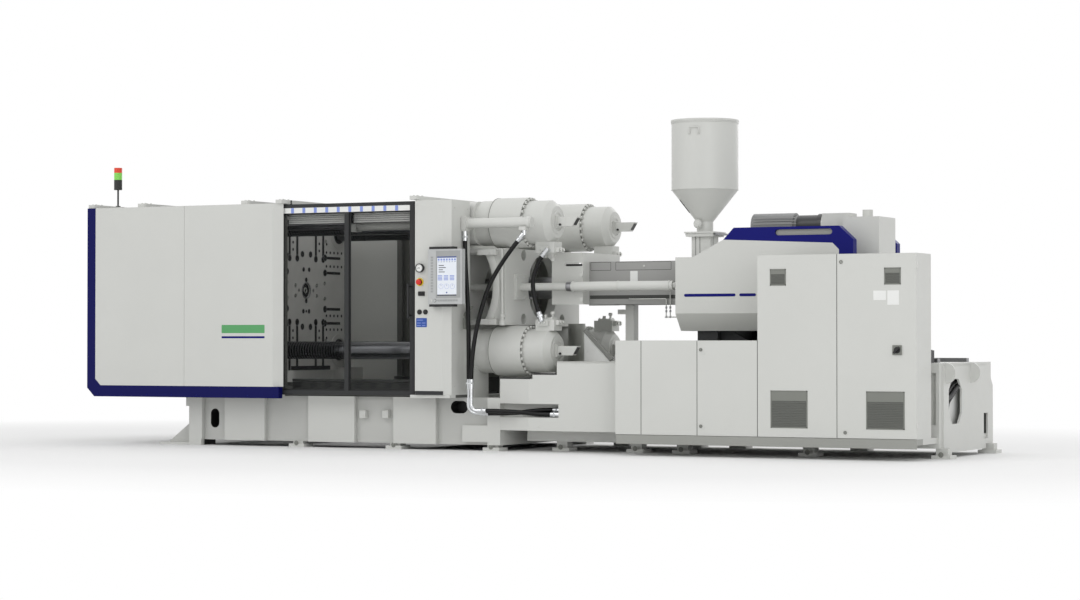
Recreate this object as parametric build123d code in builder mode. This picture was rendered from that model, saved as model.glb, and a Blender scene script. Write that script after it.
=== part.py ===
from build123d import *
import math
import os

os.makedirs("parts", exist_ok=True)

# Whole machine: X runs from the clamp end to the injection end, the operator stands at -Y
clamp_length = 4020.0
injection_length = 5668.0
axis_height = 1695.0
running_gap = 0.3
sheet = 4.0
x_face = (clamp_length - injection_length) / 2
x_left = x_face - clamp_length
x_right = x_face + injection_length

# Tie bars: lock rings at the clamp end, pistons at the other
bar_spacing_y = 1400.0
bar_spacing_z = 1330.0
bar_radius = 95.0
ring_root_radius = 84.0
ring_pitch = 66.0
ring_width = 30.0
ring_count = 4
ring_end_to_face = 1174.0
bar_tail = 1088.0
bar_nut = 70.0
lock_stroke = 66.0
bar_y = bar_spacing_y / 2
bar_low = axis_height - bar_spacing_z / 2
bar_high = axis_height + bar_spacing_z / 2
bar_places = [(y, z) for y in (-bar_y, bar_y) for z in (bar_low, bar_high)]
ring_end = x_face - ring_end_to_face
ring_start = ring_end - ring_count * ring_pitch
bar_left = ring_start - bar_tail

# Clamp bed: a weldment of proud and recessed bays
bed_bottom = 60.0
bed_top = 545.0
bed_half_width = 1130.0
bed_behind_face = 965.0
bay_recess = 60.0
bay_widths = (168.0, 295.0, 510.0, 551.0, 572.0, 474.0, 507.0, 608.0, 147.0)
opening_half_width = 640.0
drop_start_to_face = 1776.0
drop_length = 1600.0
pit_start_to_face = 2676.0
pit_length = 750.0
hand_hole_width = 110.0
hand_hole_length = 207.0
hand_hole_depth = 150.0
side_hole_length = 201.0
side_hole_height = 130.0
side_hole_level = 445.0
foot_reach = 395.0
foot_under_bed = 158.0
foot_plate = 25.0
foot_width = 280.0
foot_gusset_height = 265.0
foot_gusset = 30.0
lug_reach = 40.0
lug_height = 125.0
lug_thickness = 30.0
pipe_box_length = 293.0
pipe_box_start = 147.0
pipe_box_low = 90.0
pipe_box_high = 261.0
bed_right = x_face + bed_behind_face
bed_left = bed_right - sum(bay_widths)
drop_start = x_face - drop_start_to_face
pit_start = x_face - pit_start_to_face

# Levelling pads, by their distance from the mould face
clamp_pad_offsets = (-1493.0, -298.0, 856.0)
base_pad_offsets = (1511.0, 2350.0, 2857.0, 4206.0, 5564.0)
clamp_pad_y = 1030.0
base_pad_y = 740.0
pad_side = 190.0
pad_plate = 35.0
pad_block = 120.0

# Slideways
way_inner_y = 760.0
way_outer_y = 960.0
way_height = 25.0
way_start_to_face = 2776.0
way_length = 2600.0
rail_inner_y = 420.0
rail_outer_y = 500.0
rail_height = 40.0
rail_start_to_face = 2524.0
rail_length = 2900.0

# Fixed platen
platen_half_width = 950.0
platen_height = 1780.0
platen_corner = 40.0
mould_plate = 324.0
boss_length = 233.0
boss_half_height = 225.0
boss_width = 500.0
boss_corner = 140.0
bell_half_width = 876.0
bell_half_height = 398.0
bell_side_wall = 60.0
bell_top_wall = 40.0
bell_end_to_face = 891.0
bell_end_wall = 100.0
bell_opening = 350.0
window_radius = 665.0
window_centre_to_face = 81.0
window_edge_taper = 20.0
web_hole_radius = 57.0
web_hole_y = 454.0
web_hole_z = 335.0
leg_inner_y = 600.0
leg_start = 50.0
leg_length = 500.0
locating_radius = 80.0
locating_depth = 174.0
ring_recess_radius = 125.0
ring_recess_depth = 22.0
nozzle_cone_small = 130.0
nozzle_cone_large = 260.0
platen_bottom = axis_height - platen_height / 2
platen_top = axis_height + platen_height / 2
plate_back = x_face + mould_plate
boss_end = plate_back + boss_length
bell_end = x_face + bell_end_to_face

# T-slots in both mould faces
slot_width = 28.0
slot_depth = 60.0
slot_head_width = 48.0
slot_head_depth = 28.0
slot_columns = (-347.0, -188.0, 203.0, 360.0)
slot_column_inner = 355.0
slot_rows = (-365.0, -205.0, 205.0, 375.0)
slot_row_inner = 400.0
slot_row_length = 330.0
mould_hole_radius = 26.0
mould_hole_depth = 70.0
mould_hole_spacing_y = 840.0
mould_hole_spacing_z = 1120.0

# Clamp cylinders round the pistons of the tie bars
collar_radius = 235.0
collar_length = 167.0
body_radius = 260.0
body_length = 381.0
chamber_radius = 205.0
chamber_floor = 80.0
piston_length = 60.0
piston_to_floor = 80.0
piston_clearance = 0.3
cap_radius = 225.0
cap_length = 305.0
cap_nose = 60.0
cap_bolt_count = 8
cap_bolt_radius = 14.0
cap_bolt_head = 16.0
cap_bolt_circle = 243.0
valve_length = 215.0
valve_width = 180.0
valve_height = 95.0
valve_start = 95.0
sensor_flange_half = 65.0
sensor_flange = 22.0
sensor_height = 96.0
sensor_width = 90.0
sensor_top_length = 250.0
sensor_bottom_length = 190.0
collar_end = boss_end + collar_length
body_end = collar_end + body_length
cap_end = body_end + cap_length
floor_end = collar_end + chamber_floor
piston_start = floor_end + piston_to_floor

# Moving platen
platen_thickness = 500.0
daylight = 2074.0
lock_travel = 21 * ring_pitch
guide_half = 125.0
bar_bore_radius = 110.0
guide_ring_length = 100.0
guide_ring_seat = 40.0
pocket_size = 700.0
pocket_depth = 250.0
shoe_height = 80.0
shoe_overhang = 200.0
platen_leg_inner = 700.0
platen_leg_outer = 990.0
platen_leg_overhang = 148.0
platen_leg_back = 102.0
platen_leg_top = platen_bottom + 25.0
moving_face = x_face - daylight
moving_back = moving_face - platen_thickness
way_top = bed_top + way_height
shoe_top = way_top + running_gap + shoe_height

# Shift cylinders: one high at the operator's side, one low at the rear
shift_y = 1100.0
shift_high = 2345.0
shift_low = 1045.0
shift_outer = 52.0
shift_bore = 40.0
shift_rod = 30.0
shift_piston = 39.7
shift_piston_length = 40.0
shift_head_half = 62.0
shift_head_length = 83.0
shift_flange_half = 66.0
shift_flange_length = 55.0
shift_lug = 27.0
shift_lug_height = 100.0
shift_port_height = 83.0
shift_end_to_face = 1317.0
shift_head_to_face = 819.0
shift_end_wall = 23.0
bracket_length = 100.0
bracket_reach = 200.0
bracket_height = 120.0
bracket_to_face = 162.0
shift_head_start = x_face - shift_head_to_face
shift_end = x_face + shift_end_to_face
shift_flange_start = boss_end - shift_lug - 1.0
bracket_end = moving_face - bracket_to_face
shift_places = ((-shift_y, shift_high), (shift_y, shift_low))

# Ejector
ejector_side = 500.0
ejector_plate = 50.0
ejector_proud = 22.0
ejector_rod = 20.0
ejector_spacing = 300.0
ejector_recess = 7.0

# Lock jaws: two sliding frames, each with one half of every lock nut
jaw_length = 199.7
jaw_half_height = 135.0
jaw_depth = 200.0
jaw_stroke = 60.0
jaw_tooth_gap = 0.8
jaw_tooth_side_gap = 3.0
jaw_teeth = 3
jaw_part_gap = 0.5
jaw_stile = 100.0
jaw_beam_clearance = 5.0
jaw_top_beam = 60.0
jaw_bottom_beam = 55.0
jaw_end = moving_back - running_gap
jaw_start = jaw_end - jaw_length

# Guards round the clamp
guard_half_width = 1420.0
guard_fold = 75.0
guard_top = platen_top + 5.0
guard_bottom = 522.0
trim_side = 110.0
trim_bottom = 123.0
trim_chamfer = 95.0
trim_inner_chamfer = 70.0
panel_seam = 3.0
panel_seam_to_left = 1285.0
panel_end_to_left = 2501.0
panel_bevel = 87.0
trim_end_to_left = 2490.0
rear_cover_wall = 5.0

# Frame of the guards
post_width = 60.0
post_depth = 50.0
frame_outer_y = guard_half_width - 150.0
rail_bottom_height = 40.0
rail_top_height = 60.0
rail_top_level = platen_top - 85.0
base_plate = 15.0
base_plate_inner = 1000.0
base_plate_lengths = ((-2843.0, -2723.0), (-1656.0, -1546.0))
column_plate = 30.0
column_plate_outer = guard_half_width - 20.0
cross_height = 40.0
cross_width = 76.0
cross_half_length = guard_half_width - 20.0
cross_offsets = (38.0, 698.0, 2039.0, 2474.0, 4109.0)
post_offsets = (54.0, 2414.0, 4079.0)

# Gates
gate_depth = 50.0
gate_length = 1655.0
gate_bottom = 565.0
gate_top = platen_top - 6.0
gate_top_member = 97.0
gate_bottom_member = 46.0
gate_stile = 50.0
gate_mullion = 53.0
gate_mullion_offset = 815.0
gate_pane = 6.0
gate_handle_offset = 37.0
gate_handle_low = 1364.0
gate_handle_high = 1725.0
gate_handle_reach = 60.0
gate_handle_radius = 11.0
gate_handle_stub = 9.0
gate_end = x_left + post_offsets[2]
gate_start = gate_end - gate_length
gate_inner_y = frame_outer_y + running_gap
gate_outer_y = gate_inner_y + gate_depth

# Operator's column
column_start = 127.0
column_width = 397.0
column_inner_y = 965.0
column_bevel_x = 78.0
column_bevel_y = 60.0
column_top = platen_top - 5.0
column_wall = 5.0
column_hole = 62.0
column_left = x_face + column_start
column_right = column_left + column_width

# Operator's screen, its brackets and the push buttons
screen_left = 332.0
screen_width = 393.0
screen_low = 1506.0
screen_high = 2069.0
screen_depth = 70.0
screen_stand_off = 20.0
screen_bezel = 18.0
screen_pivot = 32.0
screen_pivot_y = 35.0
screen_glass_start = 92.0
screen_glass_low = 65.0
screen_knob_radius = 14.0
screen_knob_height = 5.0
screen_knobs = (29.0, 80.0)
screen_knob_level = 36.0
bracket_bar = 25.0
bracket_bar_depth = 80.0
bracket_bar_length = 285.0
gauge_place = (194.0, 1881.0)
gauge_radius = 45.0
gauge_depth = 30.0
stop_place = (187.0, 1737.0)
stop_radius = 40.0
stop_ring = 12.0
stop_shank = 12.0
stop_cap = 27.0
stop_cap_height = 24.0
stop_stroke = 6.0
socket_place = (206.0, 1617.0)
socket_size = (66.0, 38.0)
socket_depth = 18.0
button_places = (183.0, 253.0)
button_level = 1428.0
button_bezel = 25.0
button_bezel_height = 10.0
button_radius = 16.0
button_height = 10.0
button_stroke = 4.0
lever_reach = 45.0
lever_thickness = 14.0

# Signal tower
tower_offset = 32.0
tower_y = -900.0
tower_base = 45.0
tower_base_height = 12.0
tower_pole = 10.0
tower_pole_height = 191.0
tower_radius = 45.0
tower_black = 112.0
tower_green = 79.0
tower_red = 56.0

# Injection base
base_start_to_face = 1130.0
base_half_width = 835.0
base_bottom = 100.0
base_top = 920.0
base_step_level = 742.0
base_step_length = 340.0
end_plate = 20.0
end_plate_inset = 100.0
end_lug_radius = 125.0
end_bay = 824.0
end_bay_half_width = 700.0
end_bay_low = 200.0
end_bay_high = 860.0
plinth_low = 150.0
plinth_outer = 1440.0
plinth_end_inset = 144.0
support_offset = 1886.0
support_width = 93.0
support_half_depth = 60.0
support_top = 1505.0
side_recess_start = 222.0
side_recess_width = 69.0
side_recess_depth = 60.0

# Connection box in front of the base
pipe_box_end_offset = 2380.0
pipe_box_front = 1200.0
pipe_box_corner = 1130.0
pipe_box_slant = 364.0
pipe_box_step = 685.0
pipe_box_top_low = 742.0
pipe_box_top_high = 905.0
pipe_box_bottom = 218.0
pipe_slot_low = 354.0
pipe_slot_high = 491.0
pipe_slot_length = 703.0
pipe_slot_depth = 150.0

# Cabinets and doors
cabinet_offset = 2420.0
low_cabinet_width = 1510.0
tall_cabinet_width = 1600.0
cabinet_bottom = 207.0
low_cabinet_top = 1135.0
tall_cabinet_top = 1957.0
tall_cabinet_back = 1020.0
cabinet_front = 1429.7
cabinet_wall = 5.0
door_depth = 20.0
door_gap = 1.0
door_edge = 3.0
low_door_split = 878.0
low_panel_width = 279.0
upper_grille = (1661.0, 1821.0)
lower_grille = (296.0, 655.0)
tall_door_split = 811.0
lock_radius = 13.0
lock_height = 4.0
slat_pitch = 22.0
slat_thickness = 4.0
slat_depth = 12.0
grille_depth = 14.0
switch_plate = 91.0
switch_plate_height = 8.0
switch_offset = 187.0
switch_level = 1044.0
switch_hub = 30.0
switch_hub_height = 12.0
switch_bar = 76.0
switch_bar_width = 18.0
switch_bar_height = 26.0

# Injection unit
front_plate_offset = 2904.0
front_plate = 220.0
front_plate_low_half = 520.0
front_plate_half = 620.0
front_plate_shoulder = 1400.0
front_plate_top = 1960.0
carriage_start = 2524.0
carriage_length = 2271.0
carriage_half_width = 520.0
carriage_plate = 49.7
cover_wall = 5.0
barrel_radius = 100.0
barrel_bore = 57.0
nozzle_large = 60.0
nozzle_small = 40.0
nozzle_bore = 15.0
nozzle_length = 160.0
nozzle_inset = 24.0
screw_radius = 55.0
screw_start_inset = 190.0
feed_offset = 2764.0
feed_radius = 60.0
band_radius = 115.0
band_length = 380.0
band_pitch = 480.0
band_count = 2
band_offset = 374.0
injection_cylinder_y = 380.0
injection_cylinder_radius = 110.0
injection_cylinder_length = 440.0
injection_rod_radius = 45.0
injection_rod_inset = 25.0
drive_gap = 10.3
drive_plate = 150.0
drive_plate_half_width = 480.0
drive_plate_low = 1400.0
drive_plate_high = axis_height + 295.0
motor_radius = 170.0
motor_length = 350.0
carriage_stroke = 500.0

# Carriage cylinders
pull_y = 550.0
pull_rod_large = 39.0
pull_rod = 30.0
pull_large_offset = 1450.0
pull_piston_offset = 2084.0
pull_piston_length = 40.0
pull_piston_clearance = 0.3
pull_outer = 49.0
pull_bore = 44.0
pull_gland = 40.0
pull_head = 1504.0
pull_tail_offset = 2651.0
pull_end_wall = 27.0

# Covers of the injection unit
guard_start = 1580.0
guard_end = 2738.0
guard_half = 300.0
guard_low = axis_height - 185.0
guard_high = axis_height + 260.0
purge_length = 360.0
purge_half = 450.0
purge_high = axis_height + 355.0
purge_slot_level = axis_height + 225.0
purge_slot_height = 22.0
purge_slot_length = 190.0
shroud_half = 700.0
shroud_low = axis_height - 288.0
skirt_low = axis_height - 463.0
skirt_half = 560.0
shroud_end_offset = 4487.0
shroud_low_top = axis_height + 280.0
shroud_crest = axis_height + 449.0
shroud_crest_end = axis_height + 399.0
shroud_nose_offset = 2930.0
shroud_crest_offset = 3261.0
band_side = 100.0
band_top = axis_height + 567.0
band_rise = 113.0
band_drop = 137.0
band_end = 148.0
band_slot_start = 3814.0
band_slot_length = 603.0
band_slot_low = axis_height + 482.0
band_slot_height = 58.0
band_slot_depth = 30.0
shroud_corner = 66.0
housing_front_y = -400.0
housing_rear_y = 90.0
housing_step = 70.0
housing_step_level = axis_height + 455.0
housing_length = 308.0
housing_top = axis_height + 665.0
vent_radius = 52.0
vent_height = 83.0
vent_offset = 67.0
top_motor_y = -100.0
top_motor_level = axis_height + 605.0
top_motor_radius = 125.0
top_motor_start = 3362.0
top_motor_length = 450.0
top_fan_radius = 100.0
top_fan_length = 252.0
top_flange_radius = 112.0
top_flange_length = 64.0
top_box_half = 110.0

# Hopper
hopper_radius = 345.0
hopper_wall = 5.0
hopper_top = axis_height + 1695.0
hopper_shoulder = axis_height + 995.0
hopper_neck_radius = 85.0
hopper_neck_top = axis_height + 665.0
hopper_flange_side = 330.0
hopper_flange = 15.0
throat_side = 210.0
throat_flange_side = 300.0
throat_top = axis_height + 510.0
throat_flange = 15.0
throat_root = axis_height + 45.0
gate_plate = 20.0
gate_plate_half = 115.0
gate_plate_start = 170.0
gate_plate_end = 205.0
gate_rail = 30.0
lid_rim = 7.0
lid_height = 20.0
lid_hinge_inset = 2.0

# Cable chain on the base
chain_y = 680.0
chain_half_width = 80.0
chain_height = 60.0
chain_link = 90.0
chain_gap = 20.0
chain_start_offset = 4124.0
chain_links = 12
chain_pin_inset = 12.0

# Hoses: diameter and route, from one fitting to the next
hose_diameter = 46.0
ferrule_radius = 27.0
ferrule_length = 48.0
tube_radius = 21.0
hose_routes = {
    "hose_a": ((-268.0, -1130.0, 2214.0), (-268.0, -1130.0, 1985.0), (-205.0, -1185.0, 1560.0),
               (-186.0, -1200.0, 1120.0), (-186.0, -1200.0, 688.0)),
    "hose_b": ((372.0, -1116.0, 2190.0), (100.0, -1185.0, 1850.0), (-50.0, -1230.0, 1400.0),
               (-130.0, -1250.0, 950.0), (-130.0, -1250.0, 688.0)),
    "hose_c": ((-4.0, -1200.0, 389.0), (330.0, -1200.0, 389.0), (600.0, -1110.0, 430.0),
               (796.0, -1110.0, 430.0)),
    "hose_d": ((-4.0, -1250.0, 416.0), (330.0, -1250.0, 416.0), (600.0, -1170.0, 385.0),
               (796.0, -1170.0, 385.0)),
    "hose_e": ((505.0, -830.0, 2040.0), (415.0, -838.0, 1935.0), (350.0, -850.0, 1655.0),
               (455.0, -842.0, 1380.0)),
}


def block(x, y, z, mode=Mode.ADD):
    """Box between two values on each axis."""
    with Locations(((x[0] + x[1]) / 2, (y[0] + y[1]) / 2, (z[0] + z[1]) / 2)):
        Box(abs(x[1] - x[0]), abs(y[1] - y[0]), abs(z[1] - z[0]), mode=mode)


def rod(axis, start, end, centre, radius, mode=Mode.ADD):
    """Cylinder along one axis, centred on the other two."""
    middle = (start + end) / 2
    places = {
        "x": (middle, centre[0], centre[1]),
        "y": (centre[0], middle, centre[1]),
        "z": (centre[0], centre[1], middle),
    }
    turns = {"x": (0, 90, 0), "y": (90, 0, 0), "z": (0, 0, 0)}
    with Locations(places[axis]):
        Cylinder(radius, abs(end - start), rotation=turns[axis], mode=mode)


def side_profile(points, y, mode=Mode.ADD):
    """Prism across the machine with an outline in X and Z."""
    with BuildSketch(Plane.XZ.offset(-max(y))) as outline:
        with BuildLine():
            Polyline(*points, close=True)
        make_face()
    extrude(outline.sketch, amount=abs(y[1] - y[0]), mode=mode)


def end_profile(points, x, mode=Mode.ADD):
    """Prism along the machine with an outline in Y and Z."""
    with BuildSketch(Plane.YZ.offset(min(x))) as outline:
        with BuildLine():
            Polyline(*points, close=True)
        make_face()
    extrude(outline.sketch, amount=abs(x[1] - x[0]), mode=mode)


def plan_profile(points, z, mode=Mode.ADD):
    """Upright prism with an outline in X and Y."""
    with BuildSketch(Plane.XY.offset(min(z))) as outline:
        with BuildLine():
            Polyline(*points, close=True)
        make_face()
    extrude(outline.sketch, amount=abs(z[1] - z[0]), mode=mode)


def turned(points, y, z, mode=Mode.ADD):
    """Body of revolution about a line along X; the points are (x, radius)."""
    with BuildSketch(Plane(origin=(0, y, z), x_dir=(1, 0, 0), z_dir=(0, -1, 0))) as outline:
        with BuildLine():
            Polyline(*points, close=True)
        make_face()
    revolve(outline.sketch, axis=Axis((0, y, z), (1, 0, 0)), mode=mode)


def folded_panel(points, outer_y, inner_y, wall):
    """Sheet panel with an outline in X and Z and its edges folded back to inner_y."""
    toward_outside = math.copysign(1, outer_y)
    with BuildSketch(Plane.XZ) as outline:
        with BuildLine():
            Polyline(*points, close=True)
        make_face()
    with BuildSketch(Plane.XZ) as inside:
        with BuildLine():
            Polyline(*points, close=True)
        make_face()
        offset(amount=-wall, kind=Kind.INTERSECTION, mode=Mode.REPLACE)
    depth = abs(outer_y - inner_y)
    reach = -toward_outside
    with Locations((0, inner_y, 0)):
        add(extrude(outline.sketch, amount=depth * reach, mode=Mode.PRIVATE))
        add(extrude(inside.sketch, amount=(depth - wall) * reach, mode=Mode.PRIVATE), mode=Mode.SUBTRACT)


def mould_face(x, inward):
    """T-slots, their round ends and the mould bolt holes of one platen, cut in along inward."""
    face = Plane(origin=(x, 0, 0), x_dir=(0, inward, 0), z_dir=(inward, 0, 0))
    row_centre = slot_row_inner + slot_row_length / 2
    column_length = platen_height / 2 - slot_column_inner
    column_centre = slot_column_inner + column_length / 2
    with BuildSketch(face) as necks:
        for y in slot_columns:
            for side in (-1, 1):
                with Locations((inward * y, axis_height + side * column_centre)):
                    Rectangle(slot_width, column_length)
        for rise in slot_rows:
            with Locations((-row_centre, axis_height + rise), (row_centre, axis_height + rise)):
                Rectangle(slot_row_length, slot_width)
    with BuildSketch(face.offset(slot_depth - slot_head_depth)) as heads:
        for y in slot_columns:
            for side in (-1, 1):
                with Locations((inward * y, axis_height + side * column_centre)):
                    Rectangle(slot_head_width, column_length)
        for rise in slot_rows:
            with Locations((-row_centre, axis_height + rise), (row_centre, axis_height + rise)):
                Rectangle(slot_row_length, slot_head_width)
    with BuildSketch(face) as holes:
        with Locations((0, axis_height)):
            with GridLocations(mould_hole_spacing_y, mould_hole_spacing_z, 2, 2):
                Circle(mould_hole_radius)
    extrude(necks.sketch, amount=slot_depth, mode=Mode.SUBTRACT)
    extrude(heads.sketch, amount=slot_head_depth, mode=Mode.SUBTRACT)
    extrude(holes.sketch, amount=mould_hole_depth, mode=Mode.SUBTRACT)


def save(builder, label):
    """Label a finished piece and write its file."""
    builder.part.label = label
    export_step(builder.part, f"parts/{label}.step")


# Clamp bed
with BuildPart() as clamp_bed:
    block((bed_left, bed_right), (-bed_half_width, bed_half_width), (bed_bottom, bed_top))
    bay_start = bed_left
    for number, width in enumerate(bay_widths):
        if number % 2:
            for side in (-1, 1):
                face = side * (bed_half_width - bay_recess)
                block((bay_start, bay_start + width), (face, side * bed_half_width), (bed_bottom, bed_top), mode=Mode.SUBTRACT)
        bay_start += width
    opening_y = (-opening_half_width, opening_half_width)
    block((drop_start, drop_start + drop_length), opening_y, (bed_bottom, bed_top), mode=Mode.SUBTRACT)
    block((pit_start, pit_start + pit_length), opening_y, (bed_bottom, bed_top), mode=Mode.SUBTRACT)
    # Oval hand holes in the first and the last recessed bay
    recess_y = bed_half_width - bay_recess
    upright_x = bed_left + bay_widths[0] + bay_widths[1] / 2 - 16
    level_x = bed_right - bay_widths[8] - bay_widths[7] + side_hole_length / 2
    hole_level = (bed_bottom + bed_top) / 2 - 10
    for side in (-1, 1):
        with BuildSketch(Plane.XZ.offset(-side * recess_y)) as ovals:
            with Locations((upright_x, hole_level)):
                SlotOverall(hand_hole_length, hand_hole_width, rotation=90)
            with Locations((level_x + 147, side_hole_level)):
                SlotOverall(side_hole_length, side_hole_height)
        extrude(ovals.sketch, amount=side * hand_hole_depth, mode=Mode.SUBTRACT)
        # Foot at the free end of the bed
        outer = side * bed_half_width
        inner = side * (bed_half_width - foot_width)
        block((bed_left - foot_reach, bed_left + foot_under_bed), (inner, outer), (0, foot_plate))
        block((bed_left, bed_left + foot_under_bed), (inner, outer), (foot_plate, bed_bottom))
        gusset = ((bed_left, foot_plate), (bed_left - foot_reach + 46, foot_plate), (bed_left, foot_plate + foot_gusset_height))
        middle = side * (bed_half_width - foot_width / 2)
        side_profile(gusset, (middle - foot_gusset / 2, middle + foot_gusset / 2))
        lug_y = (side * (bed_half_width - lug_thickness), outer)
        block((bed_left - lug_reach, bed_left), lug_y, (bed_top - lug_height, bed_top))
    pipe_box_x = bed_right - pipe_box_start
    block((pipe_box_x - pipe_box_length, pipe_box_x), (-bed_half_width, -recess_y), (pipe_box_low, pipe_box_high))
save(clamp_bed, "clamp_bed")

# Levelling pads
with BuildPart() as levelling_pads:
    rows = [(clamp_pad_offsets, clamp_pad_y, bed_bottom), (base_pad_offsets, base_pad_y, base_bottom)]
    for offsets, pad_y, top in rows:
        for distance in offsets:
            for side in (-1, 1):
                x = x_face + distance
                y = side * pad_y
                half = pad_side / 2
                block((x - half, x + half), (y - half, y + half), (0, pad_plate))
                half = pad_block / 2
                block((x - half, x + half), (y - half, y + half), (pad_plate, top))
save(levelling_pads, "levelling_pads")

# Slideways of the moving platen and of the injection carriage
with BuildPart() as slideways:
    way_start = x_face - way_start_to_face
    rail_start = x_face + rail_start_to_face
    for side in (-1, 1):
        block((way_start, way_start + way_length), (side * way_inner_y, side * way_outer_y), (bed_top, way_top))
        rail_y = (side * rail_inner_y, side * rail_outer_y)
        block((rail_start, rail_start + rail_length), rail_y, (base_top, base_top + rail_height))
save(slideways, "slideways")

# Fixed platen: mould plate, four bosses, a windowed bell between the clamp cylinders
with BuildPart() as fixed_platen:
    with BuildSketch(Plane.YZ.offset(x_face)):
        with Locations((0, axis_height)):
            RectangleRounded(2 * platen_half_width, platen_height, platen_corner)
    extrude(amount=mould_plate)
    with BuildSketch(Plane.YZ.offset(plate_back)):
        for y, z in bar_places:
            with Locations((math.copysign(platen_half_width - boss_width / 2, y), z)):
                RectangleRounded(boss_width, 2 * boss_half_height, boss_corner)
    extrude(amount=boss_length)
    bell_y = (-bell_half_width, bell_half_width)
    bell_z = (axis_height - bell_half_height, axis_height + bell_half_height)
    block((plate_back, bell_end), bell_y, bell_z)
    cavity_y = bell_half_width - bell_side_wall
    cavity_z = bell_half_height - bell_top_wall
    block((plate_back, bell_end - bell_end_wall), (-cavity_y, cavity_y), (axis_height - cavity_z, axis_height + cavity_z), mode=Mode.SUBTRACT)
    rod("x", bell_end - bell_end_wall, bell_end, (0, axis_height), bell_opening, mode=Mode.SUBTRACT)
    for side in (-1, 1):
        # D-shaped window that narrows through the side wall
        with BuildSketch(Plane.XZ.offset(-side * bell_half_width)) as window:
            with Locations((x_face + window_centre_to_face, axis_height)):
                Circle(window_radius)
            with Locations((plate_back + window_radius, axis_height)):
                Rectangle(2 * window_radius, 2 * cavity_z, mode=Mode.INTERSECT)
        extrude(window.sketch, amount=side * bell_side_wall, taper=window_edge_taper, mode=Mode.SUBTRACT)
        rod("x", bell_end - bell_end_wall, bell_end, (side * pull_y, axis_height), pull_rod_large + 6, mode=Mode.SUBTRACT)
        for rise in (-web_hole_z, web_hole_z):
            rod("x", bell_end - bell_end_wall, bell_end, (side * web_hole_y, axis_height + rise), web_hole_radius, mode=Mode.SUBTRACT)
        leg_x = x_face + leg_start
        block((leg_x, leg_x + leg_length), (side * leg_inner_y, side * platen_half_width), (bed_top, platen_bottom + platen_corner))
    for y, z in bar_places:
        rod("x", x_face, boss_end, (y, z), bar_radius + running_gap, mode=Mode.SUBTRACT)
    locating_end = x_face + locating_depth
    rod("x", x_face, locating_end, (0, axis_height), locating_radius, mode=Mode.SUBTRACT)
    rod("x", x_face, x_face + ring_recess_depth, (0, axis_height), ring_recess_radius, mode=Mode.SUBTRACT)
    cone = ((locating_end, 0), (locating_end, nozzle_cone_small), (plate_back, nozzle_cone_large), (plate_back, 0))
    turned(cone, 0, axis_height, mode=Mode.SUBTRACT)
    mould_face(x_face, 1)
save(fixed_platen, "fixed_platen")

# Clamp cylinders
with BuildPart() as clamp_cylinders:
    bore = bar_radius + running_gap
    profile = (
        (boss_end, bore), (boss_end, collar_radius), (collar_end, collar_radius), (collar_end, body_radius),
        (body_end, body_radius), (body_end, chamber_radius), (floor_end, chamber_radius), (floor_end, bore),
    )
    for y, z in bar_places:
        turned(profile, y, z)
save(clamp_cylinders, "clamp_cylinders")

# Caps of the clamp cylinders with their valve blocks
with BuildPart() as cylinder_caps:
    profile = (
        (body_end, 0), (body_end, cap_radius), (cap_end - cap_nose, cap_radius),
        (cap_end, cap_radius - cap_nose), (cap_end, 0),
    )
    valve_x = (body_end + valve_start, body_end + valve_start + valve_length)
    for y, z in bar_places:
        turned(profile, y, z)
        toward_axis = math.copysign(1, axis_height - z)
        root = z + toward_axis * math.sqrt(cap_radius ** 2 - (valve_width / 2) ** 2)
        end = z + toward_axis * (cap_radius + valve_height)
        block(valve_x, (y - valve_width / 2, y + valve_width / 2), (root, end))
save(cylinder_caps, "cylinder_caps")

# Bolts of the caps
with BuildPart() as cap_bolts:
    for y, z in bar_places:
        with BuildSketch(Plane.YZ.offset(body_end)) as heads:
            with Locations((y, z)):
                with PolarLocations(cap_bolt_circle, cap_bolt_count, start_angle=22.5):
                    RegularPolygon(cap_bolt_radius, 6)
        extrude(heads.sketch, amount=cap_bolt_head)
save(cap_bolts, "cap_bolts")

# Stroke sensors on the caps
with BuildPart() as stroke_sensors:
    for y, z in bar_places:
        flange_y = (y - sensor_flange_half, y + sensor_flange_half)
        block((cap_end, cap_end + sensor_flange), flange_y, (z - sensor_flange_half, z + sensor_flange_half))
        low = z - sensor_height / 2
        high = z + sensor_height / 2
        start = cap_end + sensor_flange
        outline = ((start, low), (cap_end + sensor_bottom_length, low), (cap_end + sensor_top_length, high), (start, high))
        side_profile(outline, (y - sensor_width / 2, y + sensor_width / 2))
save(stroke_sensors, "stroke_sensors")

# Tie bars: lock rings, plain shank and piston in one piece
with BuildPart() as tie_bars:
    rings = []
    for number in range(ring_count):
        root_x = ring_start + number * ring_pitch
        groove_end = root_x + ring_pitch - ring_width
        rings += [(root_x, bar_radius), (root_x, ring_root_radius), (groove_end, ring_root_radius), (groove_end, bar_radius)]
    piston_radius = chamber_radius - piston_clearance
    piston_end = piston_start + piston_length
    profile = [
        (bar_left, 0), (bar_left, bar_radius), *rings,
        (piston_start, bar_radius), (piston_start, piston_radius), (piston_end, piston_radius),
        (piston_end, bar_radius), (piston_end + bar_nut, bar_radius), (piston_end + bar_nut, 0),
    ]
    for y, z in bar_places:
        turned(profile, y, z)
save(tie_bars, "tie_bars")

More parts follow.
